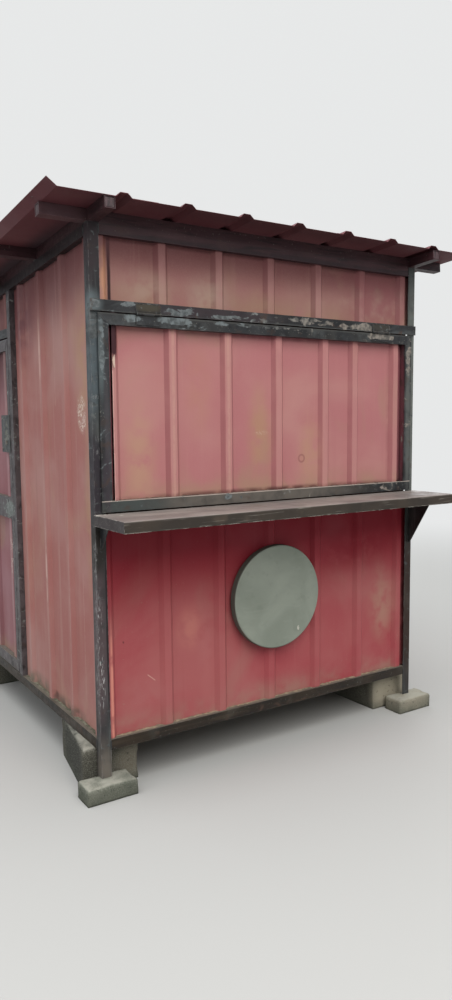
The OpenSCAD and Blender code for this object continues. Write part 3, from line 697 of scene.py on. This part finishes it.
side_red = sheet_paint(
    "side_red", "#a56a64", "#b28780", "#6d3f40", 4.0, painted_shade_heights=(1.72, 2.04),
    streaks=0.6, dust="#b08c78", ribs=LEFT, lit_worn_crest="#b08a84", flank_shade="#95605c", rib_shading=0.22,
    gloom=0.68,
    stains=[
        ((25, 130, 1600), (60, 120, 400), "#b28c72", 0.8),
        ((25, 100, 1000), (60, 70, 420), "#ae8a70", 0.8),
        # pale streaks: part painted highlight on the ribs, part worn paint
        ((14, 556, 1660), (20, 15, 190), "#d4b0a4", 1.0),
        ((14, 553, 760), (20, 14, 260), "#d0aea4", 1.0),
        ((14, 330, 1040), (20, 18, 260), "#c8a094", 0.8),
        # painted shadow of the eave along the top of the wall
        ((25, 600, 2030), (60, 1000, 50), "#1d0f12", 1.2),
        ((14, 800, 1850), (60, 230, 300), "#6b3f47", 0.8),
        ((25, 518, 226), (60, 40, 26), "#5a3430", 1.0),
        ((25, 273, 222), (60, 26, 22), "#5a3430", 1.0),
        ((14, 720, 222), (40, 230, 56), "#776c5e", 1.3),
        ((14, 350, 214), (40, 300, 46), "#665b50", 1.2)
    ],
    lines=[
        # pale line: part painted highlight on a rib, part worn paint
        ((10, 560, 1800), (10, 552, 380), 5, "#c8a69c", 0.25),
        ((25, 430, 1850), (25, 428, 1450), 4, "#bf9a90", 0.4),
        ((25, 190, 800), (25, 188, 300), 4, "#b98f8a", 0.5),
        # pale line: part painted highlight on a rib, part worn paint
        ((10, 300, 900), (10, 300, 240), 5, "#bc9690", 0.4)
    ],
    scrapes=[((25, 162, 1416), (34, 52, 84), 2.2), ((25, 150, 1372), (34, 34, 44), 2.2)])
door_red = sheet_paint(
    "door_red", "#926064", "#a0757a", "#5a3538", 5.0, painted_shade_heights=(1.45, 1.85), dusty=0.35,
    streaks=0.6, low=0.25, ribs=LEFT, lit_worn_crest="#b08e90", flank_shade="#6c4044", rib_shading=0.5,
    scrapes=[((25, 1010, 760), (34, 70, 170), 1.0)])
rear_red, right_red = (
    sheet_paint(
        name, "#a0676a", "#ac7a78", "#663c40", seed, painted_shade_heights=(1.78, 2.04), dusty=0.28, streaks=0.5,
        ribs=ribs, lit_worn_crest="#b08a84", flank_shade="#74464a", rib_shading=0.5)
    for name, seed, ribs in (
        ("rear_red", 6.0, ("Y", 0.825, 0.84)), ("right_red", 8.0, ("X", 0.763, 0.778))))
slit_red = sheet_paint(
    "slit_red", "#7a434a", "#864e54", "#5a3034", 9.0, dusty=0.3, dust="#5a463e", low=1.1)
roof_red = sheet_paint(
    "roof_red", "#63343a", "#72464a", "#4e2e31", 7.0, dusty=0.25, streaks=0.3, dust="#745c54",
    low=-1,
    # Painted shade on the underside: darker at the front overhang and along the top of the left
    # wall.
    underside_shade=[
        ((800, -120, 2110), (1300, 120, 70), "#4a2d31", 0.8),
        ((-10, 700, 2060), (80, 1000, 200), "#38242a", 1.1)
    ])

paint(flap_red, "hatch_sheet")
paint(lower_red, "front_lower_sheet")
paint(upper_red, "front_upper_sheet")
paint(side_red, "left_wall_sheet", "over_door_sheet")
paint(door_red, "door_sheet")
paint(rear_red, "rear_wall_sheet")
paint(right_red, "right_wall_sheet")
paint(roof_red, "roof_sheet_left", "roof_sheet_middle", "roof_sheet_right")

# Materials of the frame
frame_black = frame_paint("frame_black", 11.0)
bar_black = frame_paint("bar_black", 26.0, along=(5, 5, 60))
eave_black = frame_paint(
    "eave_black", 18.0, along=(5, 5, 60), dust=0.1, edge=0.0, rust=0.2, body="#3a2327",
    worn="#43292d", pale="#4a3033", ledge="#5a4240",
    tints=[
        # painted shade along the lower edge of the front top rail
        ((800, 0, 2034), (1500, 60, 18), "#2c1b20", 0.9),
        ((-100, 20, 2085), (150, 100, 70), "#5c4246", 0.9)
    ])
# Side top rails: near-black maroon as painted shade of the eaves, on the same steel as the front
# top rail.
side_rail_painted_shade = frame_paint(
    "side_rail_painted_shade", 20.0, along=(5, 5, 60), dust=0.1, edge=0.0, rust=0.2, body="#140b0d",
    worn="#1a0f12", pale="#211417", ledge="#4c3b38")
rail_black = frame_paint(
    "rail_black", 19.0, dust=1.0, edge=0.2, rust=0.9, body="#1c130a", worn="#2a1f12",
    pale="#3d3226", ledge="#6a655a", along=(5, 5, 60))
post_black = frame_paint(
    "post_black", 12.0, edge=0.35, bare=("#3f4344", "#5b5f5f"), worn="#303233", pale="#555a5a",
    patches=[((6, 0, 1500), (26, 30, 260), 0.4), ((8, 0, 1730), (34, 34, 110), 1.1)],
    scratches=[
        ((2, 6, 620), (22, 34, 240), 0.9), ((6, 4, 425), (22, 32, 160), 1.8),
        ((0, 6, 880), (8, 30, 90), 1.2), ((20, 0, 1290), (26, 30, 60), 0.4),
        ((16, 0, 1466), (20, 30, 10), 1.6)
    ],
    tints=[
        ((0, 0, 1560), (50, 60, 300), "#566166", 0.75),
        ((0, 0, 1775), (60, 60, 90), "#657073", 0.9),
        # painted shade of the eave at the top of the post
        ((0, 0, 2010), (60, 60, 210), "#2c2125", 1.3),
        ((0, 0, 1170), (50, 60, 260), "#2a242a", 1.1),
        ((0, 0, 600), (60, 60, 520), "#504345", 1.0),
        ((10, 0, 60), (60, 60, 190), "#6a635b", 1.0),
        # painted shadow of the counter and its gusset on the post
        ((0, 0, 925), (60, 60, 135), "#241f1a", 1.2),
        # painted shade in the gap between the post's edge and the sheet
        ((36, 0, 600), (6, 60, 420), "#190e11", 1.5),
        ((1590, 0, 1500), (60, 60, 800), "#646863", 1.1),
        ((1590, 0, 500), (60, 60, 520), "#2a170c", 1.2)
    ])
header_black = frame_paint(
    "header_black", 13.0, rust=0.7, grain=(0.6, 1, 1.0), bare=("#4a4f50", "#6f7576"),
    bare_right=("#5a5752", "#8f877e"), along=(8, 60, 30),
    patches=[
        ((150, FLAP_FACE, 1796), (50, 40, 18), 1.2), ((16, FLAP_FACE, 1792), (40, 40, 26), 1.1),
        ((1300, FLAP_FACE, 1783), (140, 40, 22), 1.4),
        ((345, FLAP_FACE, 1780), (90, 40, 22), 1.3), ((640, FLAP_FACE, 1776), (330, 40, 14), 0.6),
        ((1020, FLAP_FACE, 1788), (280, 40, 22), 0.8)
    ],
    tints=[
        ((0, FLAP_FACE, 1790), (60, 40, 60), "#5f696b", 0.8),
        # painted light along the header's lower edge, which softens the shadow line of the gap
        # above the flap
        ((800, FLAP_FACE, 1764), (1400, 40, 9), "#3d3d3c", 1.2),
        ((520, FLAP_FACE, 1785), (420, 40, 40), "#35292d", 0.8)
    ])
flap_black = frame_paint(
    "flap_black", 14.0, rust=0.5, edge=0.15, bare=("#4a4f50", "#70787a"),
    bare_right=("#5a5752", "#8f877e"), grain=(0.6, 1, 0.9), along=(14, 60, 14),
    patches=[
        ((38, FLAP_FACE, 1650), (16, 40, 120), 1.1), ((160, FLAP_FACE, 1746), (70, 40, 20), 1.4),
        ((330, FLAP_FACE, 1748), (110, 40, 18), 1.5),
        ((720, FLAP_FACE, 1750), (300, 40, 10), 0.7),
        ((1385, FLAP_FACE, 1746), (120, 40, 18), 1.4),
        ((1555, FLAP_FACE, 1640), (24, 40, 120), 0.8)
    ],
    tints=[
        ((1558, FLAP_FACE, 1400), (22, 12, 500), "#565855", 1.1),
        # painted light: a maroon tone that lifts the right stile's inner face, which lies in shade
        # in the slit
        ((1535, 8, 1400), (5, 22, 500), "#6a3a42", 1.3),
        ((700, FLAP_FACE, 1074), (760, 40, 60), "#615b54", 1.0),
        ((150, FLAP_FACE, 1074), (200, 40, 50), "#414846", 0.9),
        ((34, FLAP_FACE, 1600), (18, 40, 190), "#566062", 0.8),
        ((52, FLAP_FACE, 1300), (16, 40, 400), "#423e42", 0.8),
        ((45, FLAP_FACE, 1170), (22, 40, 140), "#342d33", 1.0),
        ((800, -8, 1094), (1500, 12, 3.2), "#b8aca3", 1.4),
        # painted light along the flap's top edge, which softens the shadow line of the gap below
        # the header
        ((800, FLAP_FACE, 1758), (1400, 40, 7), "#3d3d3c", 1.2)
    ])
hinge_black = frame_paint(
    "hinge_black", 15.0, rust=1.0, edge=0.25, body="#1b1918", worn="#2a2623",
    bare=("#4f5352", "#6f7473"),
    patches=[
        ((223, -14, 1736), (90, 40, 17), 1.2), ((-4, 1557, 431), (40, 60, 90), 0.6),
        ((-4, 1557, 1539), (40, 60, 90), 0.6)
    ],
    tints=[
        ((223, -14, 1788), (90, 40, 22), "#403a2e", 1.0),
        # painted shadow under the hinge's knuckle
        ((223, -14, 1754), (90, 40, 12), "#0c0b0b", 1.2),
        ((1377, -14, 1788), (90, 40, 22), "#38342d", 0.9),
        # painted shadow under the hinge's knuckle
        ((1377, -14, 1754), (90, 40, 12), "#0c0b0b", 1.2)
    ])
door_black = frame_paint(
    "door_black", 16.0, bare=("#5b625e", "#858a86"), along=(18, 18, 12), body="#4a4546",
    worn="#575153", pale="#6b6466",
    patches=[((0, 1000, 985), (24, 110, 60), 1.3)],
    scratches=[((0, 955, 820), (20, 20, 240), 0.8)])
plug_grey = frame_paint(
    "plug_grey", 24.0, dust=0.3, edge=0.0, body="#443235", worn="#503d40",
    pale="#5c484b", ledge="#4a3634")
lock_grey = frame_paint(
    "lock_grey", 17.0, body="#343636", worn="#4c4f4d",
    patches=[((-3, 1000, 1330), (20, 60, 90), 0.7)])
shelf_steel = worn_steel(
    "shelf_steel", 21.0, ("#6f6763", "#887f79"), ("#2b231b", "#3b3127"),
    scuffs=[((4, -16, 1048), (46, 26, 5), 1.4), ((70, -60, 1048), (14, 30, 4), 1.2)])

paint(bar_black, "hatch_sill", "door_lintel", "floor_joists")
paint(frame_black, "corner_post_rear_left", "corner_post_rear_right", "counter_gussets")
paint(eave_black, "top_rail_front", "top_rail_rear", "roof_rafter_left", "roof_rafter_right",
      "roof_purlins")
paint(side_rail_painted_shade, "top_rail_left", "top_rail_right")
paint(rail_black, "bottom_rail_front", "bottom_rail_rear", "bottom_rail_left", "bottom_rail_right")
paint(post_black, "corner_post_front_left", "corner_post_front_right")
paint(header_black, "hatch_header")
paint(flap_black, "hatch_frame")
paint(hinge_black, "hatch_hinges", "door_hinges")
paint(door_black, "door_frame", "door_post")
paint(lock_grey, "door_lock")
paint(shelf_steel, "counter_shelf")
paint(matt_disc("matt_disc", 22.0), "sign_disc")
paint(plywood("floor_ply", 23.0), "floor_panel")

# Footings
block_grey = rough_concrete(
    "block_grey", 31.0, "#625f54", "#4c4a40",
    tints=[
        ((-40, 240, 90), (130, 260, 240), "#2f302b", 1.2),
        ((150, 56, 90), (90, 40, 120), "#726c5e", 1.0),
        # painted light: the right block's front face made lighter against the shade it stands in
        ((1540, 56, 90), (190, 60, 170), "#aca38f", 1.1)
    ])
paver_grey = rough_concrete(
    "paver_grey", 32.0, "#6c6e62", "#55594e",
    tints=[((1580, 0, 40), (200, 140, 110), "#928b7a", 1.0)])
PAVER = [(-82, -60), (118, -60), (118, 40), (-82, 40)]
FRONT_BLOCK = [(-52, 58), (177, 58), (189, 428), (10, 428)]
REAR_BLOCK = [(-52, 58), (177, 58), (189, 168), (-33.6, 168)]
for number, (rear, right) in enumerate(((0, 0), (0, 1), (1, 0), (1, 1)), 1):
    place = ("rear" if rear else "front") + ("_right" if right else "_left")
    for kind, plan, tall, bevel, wear, chip, look in (
        ("paver", PAVER, PAVER_H, 5, 1.0, 4, paver_grey),
        ("block", REAR_BLOCK if rear else FRONT_BLOCK, RAIL_LOW, 12, 1.6, 7, block_grey)
    ):
        corners = [(WIDTH - x if right else x, DEPTH - y if rear else y) for x, y in plan]
        slab = rough_slab(f"rough_{kind}_{place}", corners, tall, bevel, number * 3.3 + tall, wear,
                          chip, look)
        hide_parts("footing_" + place)

# Weld beads, most of which stop a little short of the edges that they run between
SHORT = 2
LEAF_BEADS = ((-48, -20), (18, 47))  # along a hinge leaf
LEAF_ENDS = (("cabin", 12, 34), ("hatch_flap", -34, -12))
FLAP_CORNER = LEG - SHORT
DOOR_CORNER = (29, 48)  # along its stile's and its rail's width
PURLIN_STEP = (DEPTH / math.cos(ROOF_TILT) - TUBE) / (PURLINS - 1)
welds = []


def weld(body, a, b, radius=2.6, place=at):
    """Lists a bead between two points of the cabin's or the roof's frame."""
    welds.append((body, place(*a), place(*b), radius))


def upright(x, y, low, high):
    weld("cabin", (x, y, low + SHORT), (x, y, high - SHORT))


for x in (LEG, WIDTH - LEG):
    for low in (RAIL_LOW, SILL_LOW, FRAME_TOP - LEG):
        upright(x, 0, low, low + LEG)
    for high in (RAIL_TOP, FRAME_TOP - ROOF_DROP):
        upright(x, DEPTH, high - LEG, high)
for x in (0, WIDTH):
    for y in (LEG, DEPTH - LEG):
        upright(x, y, RAIL_LOW, RAIL_TOP)
        top = FRAME_TOP - ROOF_DROP * y / DEPTH
        upright(x, y, top - LEG, top)
for front, rear in ((RAIL_TOP, RAIL_TOP), DOOR_POST_TOP):
    weld("cabin", (0, DOOR_POST_Y + 3, front), (0, DOOR_POST_Y + LEG - 3, rear))
for x in (0, WIDTH - LEG):
    weld("cabin", (x + SHORT, -1, HEADER_TOP), (x + LEG - SHORT, -1, HEADER_TOP), 3)
for inner, reach, tall in GUSSETS:
    for x in (inner, inner + GUSSET_T):
        for z in (SHELF_UNDER - tall - 5, SHELF_UNDER - 50):
            weld("cabin", (x, -1, z), (x, -1, z + 40))
        for y in (8 - reach, -45):
            weld("cabin", (x, y, SHELF_UNDER - 0.5), (x, y + 32, SHELF_UNDER - 0.5))
leaf = FLAP_FACE - 1
for side in (-1, 1):
    middle = WIDTH / 2 + side * HINGE_SPREAD
    for a, b in LEAF_BEADS:
        for body, z in (("cabin", HATCH_AXIS_Z + HINGE_W), ("hatch_flap", HATCH_AXIS_Z - HINGE_W)):
            weld(body, (middle + a, leaf, z), (middle + b, leaf, z))
    for x in (middle - HINGE_L / 2, middle + HINGE_L / 2):
        for body, low, high in LEAF_ENDS:
            weld(body, (x, leaf, HATCH_AXIS_Z + low), (x, leaf, HATCH_AXIS_Z + high), 2.2)
for z in DOOR_ROWS:
    for a, b in LEAF_BEADS:
        for body, y in (("cabin", DOOR_AXIS_Y + HINGE_W), ("side_door", DOOR_AXIS_Y - HINGE_W)):
            weld(body, (-1, y, z + a), (-1, y, z + b))
for x, dx in ((FLAP_IN, 1), (WIDTH - FLAP_IN, -1)):
    for z, dz in ((FLAP_LOW, 1), (FLAP_HIGH, -1)):
        weld("hatch_flap", (x + dx * SHORT, FLAP_FACE, z + dz * SHORT),
             (x + dx * FLAP_CORNER, FLAP_FACE, z + dz * FLAP_CORNER), 0.7)
for y, dy in ((DOOR_FROM, 1), (DOOR_TO, -1)):
    for z, dz in ((DOOR_LOW, 1), (DOOR_HIGH, -1)):
        weld("side_door", (0, y + dy * SHORT, z + dz * SHORT),
             (0, y + dy * DOOR_CORNER[0], z + dz * DOOR_CORNER[1]), 0.7)
for row in range(PURLINS):
    y = row * PURLIN_STEP
    for x in (0, TUBE, WIDTH - TUBE, WIDTH):
        for z in (0, TUBE):
            weld("cabin", (x, y + 3, z), (x, y + TUBE - 3, z), 2, on_roof)
beads = {"cabin": bmesh.new(), "hatch_flap": bmesh.new(), "side_door": bmesh.new()}
for number, (body, a, b, radius) in enumerate(welds, 1):
    bead(beads[body], a, b, radius, number * 1.7)
for body, bm in beads.items():
    piece("weld_beads_" + body, bm, frame_black, body, smooth=True)

# Returned edges of the flap's sheet, in the slits beside its frame
STRIP_H = 624
STRIP_STEPS = 60
STRIP_SECTION = ((0, 19), (9, 18.5), (15, 17), (16, 19), (9, 20.5), (0, 21))  # x inward, y
bm = bmesh.new()
for x, way in ((SLIT_IN, 1), (WIDTH - SLIT_IN, -1)):
    rings = []
    for i in range(STRIP_STEPS + 1):
        z = FLAP_LEDGE + 1 + STRIP_H * i / STRIP_STEPS
        sway = 1.4 * wave(i * 0.23, x)
        rings.append([bm.verts.new(at(x + way * dx, y + sway, z)) for dx, y in STRIP_SECTION])
    skin(bm, rings)
piece("flap_edge_strips", bm, slit_red, "hatch_flap", smooth=True)

# Torn flake on the flap's left rib: two layers, which curl outward to the left
FLAKE_X, FLAKE_Y, FLAKE_Z = 93, 4.4, 1571
FLAKE_H, FLAKE_W, FLAKE_CURL, FLAKE_T = 46, 11, 4.8, 0.35
FLAKE_ROWS, FLAKE_COLUMNS = 12, 6
bm = bmesh.new()
for lift in (0, 1):
    grid = []
    for i in range(FLAKE_ROWS + 1):
        z = FLAKE_Z + FLAKE_H * i / FLAKE_ROWS
        bulge = math.sin(math.pi * (0.12 + 0.76 * i / FLAKE_ROWS))
        spread = FLAKE_W * bulge * (1 + 0.3 * wave(i * 0.5, 3))
        row = []
        for k in range(FLAKE_COLUMNS + 1):
            t = k / FLAKE_COLUMNS
            curl = FLAKE_CURL * t ** 1.6 * (0.7 + 0.6 * abs(wave(i * 0.4, 9)))
            row.append(bm.verts.new(at(FLAKE_X - spread * t, FLAKE_Y - curl - FLAKE_T * lift,
                                       z + 2.2 * t * wave(i * 0.9, 5))))
        grid.append(row)
    for a, b in zip(grid, grid[1:]):
        for k in range(FLAKE_COLUMNS):
            bm.faces.new((a[k], a[k + 1], b[k + 1], b[k]))
flake_pale = sheet_paint("flake_pale", "#d3b4a2", "#e2cfc0", "#9a6a5e", 25.0, dusty=0.2, low=-1)
piece("flap_torn_flake", bm, flake_pale, "hatch_flap", smooth=True)

# Plugs that close the roof tubes' ends: a bevelled plate set 1 mm inside each
PLUG = ((16.8, 4), (16.8, 2.2), (15.2, 1), (9, 0.8))  # half width, depth inside the end
bm = bmesh.new()


def plug(centre, side, up, out):
    rings = []
    for half, depth in PLUG:
        rings.append([bm.verts.new(centre + (side * a + up * b) * half / 1000 - out * depth / 1000)
                      for a, b in ((-1, -1), (1, -1), (1, 1), (-1, 1))])
    skin(bm, rings)


to_rear, to_right = Vector((0, 1, 0)), Vector((1, 0, 0))
roof_up = (on_roof(0, 0, 1) - on_roof(0, 0, 0)).normalized()
roof_back = (on_roof(0, 1, 0) - on_roof(0, 0, 0)).normalized()
for x in (TUBE / 2, WIDTH - TUBE / 2):
    for y, way in ((RAFTER_FROM, -1), (RAFTER_TO, 1)):
        plug(on_roof(x, y, TUBE / 2), to_right, roof_up, roof_back * way)
for row in range(PURLINS):
    y = row * PURLIN_STEP + TUBE / 2
    for x, way in ((-PURLIN_PAST, -1), (WIDTH + PURLIN_PAST, 1)):
        plug(on_roof(x, y, TUBE / 2), roof_back, roof_up, to_right * way)
piece("tube_plugs", bm, plug_grey, "cabin")

# Roof screws on the rib crests, over the purlins
SCREW_PAST = 205  # the furthest beyond the cabin's sides
bm = bmesh.new()
rng = random.Random(4)
for row in range(PURLINS):
    y = row * PURLIN_STEP + TUBE / 2
    for k in range(-1, 7):
        x = min(max(ROOF_RIB + ROOF_PITCH * k, -SCREW_PAST), WIDTH + SCREW_PAST)
        raised = 1 if k <= 0 or k >= 4 else 0  # the outer sheets lie over the middle one
        spot = on_roof(x + rng.uniform(-3, 3), y, TUBE + ROOF_RIB_H + 1 + raised)
        hex_head(bm, spot, roof_up, across=8, height=5, washer=8, turn=rng.uniform(0, 1))
piece("roof_screws", bm, zinc("screw_zinc", 41.0), "cabin")

# Knob and two bolts of the lock
KNOB = [(11, -0.2), (11, 2), (9, 4.2), (5, 5.4)]
BOLT = [(5, -0.2), (5, 1.2), (3.6, 2.4)]
bm = bmesh.new()
for y, z, form, sides in ((1000, 1290, KNOB, 24), (1052, 1400, BOLT, 16), (1052, 1262, BOLT, 16)):
    lathe(bm, at(LOCK_FACE, y, z), -to_right, form, sides)
piece("lock_bolts", bm, zinc("bolt_zinc", 42.0), "side_door", smooth=True)

# Grit along the ledges
pale_grit = dust_heap("pale_grit", 51.0, "#a0937c", "#7d7262")
dark_grit = dust_heap("dark_grit", 52.0, "#7c7a6a", "#5a584c")
flap_grit = dust_heap("flap_grit", 53.0, "#7c665c", "#3f302b")
END = LEG + 1  # clear of the posts
FAR_X, FAR_Y = WIDTH - PAN_IN, DEPTH - PAN_IN
for seed, (place, start, end, inward, width, height, look, body) in enumerate((
    ("front", (END, PAN_IN, RAIL_TOP), (WIDTH - END, PAN_IN, RAIL_TOP), to_rear, 16, 3.2,
     pale_grit, "cabin"),
    ("left", (PAN_IN, END, RAIL_TOP), (PAN_IN, DOOR_POST_Y - 3, RAIL_TOP), to_right, 15, 3.0,
     dark_grit, "cabin"),
    ("right", (FAR_X, END, RAIL_TOP), (FAR_X, DEPTH - END, RAIL_TOP), -to_right, 15, 3.0,
     dark_grit, "cabin"),
    ("rear", (END, FAR_Y, RAIL_TOP), (WIDTH - END, FAR_Y, RAIL_TOP), -to_rear, 15, 3.0,
     dark_grit, "cabin"),
    ("flap", (84, 20, FLAP_LEDGE), (1504, 20, FLAP_LEDGE), to_rear, 20, 2.6,
     flap_grit, "hatch_flap"),
    ("header", (END + 1, PAN_IN, HEADER_TOP), (WIDTH - END - 1, PAN_IN, HEADER_TOP), to_rear,
     18, 2.6, pale_grit, "cabin")
), 1):
    grit_strip("grit_" + place, at(*start), at(*end), inward, width, height, seed, look, body)

# Floor and background: the floor fades into the background with distance
FLOOR_REACH = 14.0
FADE_FROM, FADE_TO = 3.2, 7.5
BACKGROUND = (0.80, 0.81, 0.81, 1)
SKY, SKY_STRENGTH = (0.93, 0.96, 1.0, 1), 0.54
ground = Shader("floor_look", roughness=0.9, specular=0.1)
rays = ground.add("ShaderNodeLightPath")
seen = ground.highest(rays.outputs["Is Camera Ray"], rays.outputs["Is Glossy Ray"])
away = ground.vector("LENGTH", ground.place)
ground.colour = ground.mix(seen, "#858582", "#b4b4b1")
ground.finish()
glow = ground.add("ShaderNodeBackground")
glow.inputs["Color"].default_value = BACKGROUND
fade = ground.add("ShaderNodeMixShader")
far_off = ground.ramp(away, FADE_FROM, FADE_TO)
ground.put(fade.inputs[0], ground.times(far_off, rays.outputs["Is Camera Ray"]))
ground.put(fade.inputs[1], ground.bsdf.outputs[0])
ground.put(fade.inputs[2], glow.outputs[0])
ground.put(ground.out.inputs[0], fade.outputs[0])
mesh = bpy.data.meshes.new("floor")
mesh.from_pydata(
    [(x * FLOOR_REACH, y * FLOOR_REACH, 0) for x, y in ((-1, -1), (1, -1), (1, 1), (-1, 1))],
    [], [(0, 1, 2, 3)])
mesh.materials.append(ground.mat)
floor = bpy.data.objects.new("floor", mesh)
bpy.context.scene.collection.objects.link(floor)

scene = bpy.context.scene
world = bpy.data.worlds.new("studio")
scene.world = world
world.use_nodes = True
tree = world.node_tree
tree.nodes.clear()
surface = tree.nodes.new("ShaderNodeOutputWorld")
blend = tree.nodes.new("ShaderNodeMixShader")
path = tree.nodes.new("ShaderNodeLightPath")
tree.links.new(path.outputs["Is Camera Ray"], blend.inputs[0])
for i, (colour, strength) in enumerate(((SKY, SKY_STRENGTH), (BACKGROUND, 1.0)), 1):
    light = tree.nodes.new("ShaderNodeBackground")
    light.inputs["Color"].default_value = colour
    light.inputs["Strength"].default_value = strength
    tree.links.new(light.outputs[0], blend.inputs[i])
tree.links.new(blend.outputs[0], surface.inputs[0])


def area_light(name, place, target, size, power, colour=(1, 1, 1)):
    """A square lamp at a place, turned to a target: metres and watts."""
    data = bpy.data.lights.new(name, "AREA")
    data.shape = "SQUARE"
    data.size = size
    data.energy = power
    data.color = colour
    obj = bpy.data.objects.new(name, data)
    scene.collection.objects.link(obj)
    obj.location = place
    obj.rotation_euler = (Vector(target) - Vector(place)).to_track_quat("-Z", "Y").to_euler()


area_light("key", (-1.2, -6.0, 6.4), (0, -0.4, 0.9), 6.0, 395, (1.0, 0.97, 0.93))
area_light("sky", (-1.0, -1.0, 8.5), (-0.4, -0.6, 0.8), 9.0, 600, (0.97, 0.98, 1.0))
area_light("left_fill", (-6.5, -1.0, 4.2), (-0.8, 0, 1.0), 4.0, 92, (0.97, 0.98, 1.0))
area_light("back_fill", (4.5, 5.0, 4.0), (0, 0, 1.0), 4.0, 120)

# Camera, fitted to the photograph
CAMERA_AT = (-1.883, -3.262, 1.368)
YAW, PITCH, ROLL = (math.radians(angle) for angle in (32.96, -5.74, -0.54))
FOCAL = 18.206
look = Vector((math.sin(YAW) * math.cos(PITCH), math.cos(YAW) * math.cos(PITCH), math.sin(PITCH)))
level = Vector((math.cos(YAW), -math.sin(YAW), 0))
rise = level.cross(look)
right_axis = level * math.cos(ROLL) + rise * math.sin(ROLL)
up_axis = rise * math.cos(ROLL) - level * math.sin(ROLL)
lens = bpy.data.cameras.new("camera")
lens.sensor_fit = "VERTICAL"
lens.sensor_height = 24
lens.lens = FOCAL
lens.clip_end = 100
camera = bpy.data.objects.new("camera", lens)
scene.collection.objects.link(camera)
turned = Matrix((right_axis, up_axis, -look)).transposed().to_4x4()
camera.matrix_world = Matrix.Translation(CAMERA_AT) @ turned
scene.camera = camera
scene.view_settings.view_transform = "Standard"
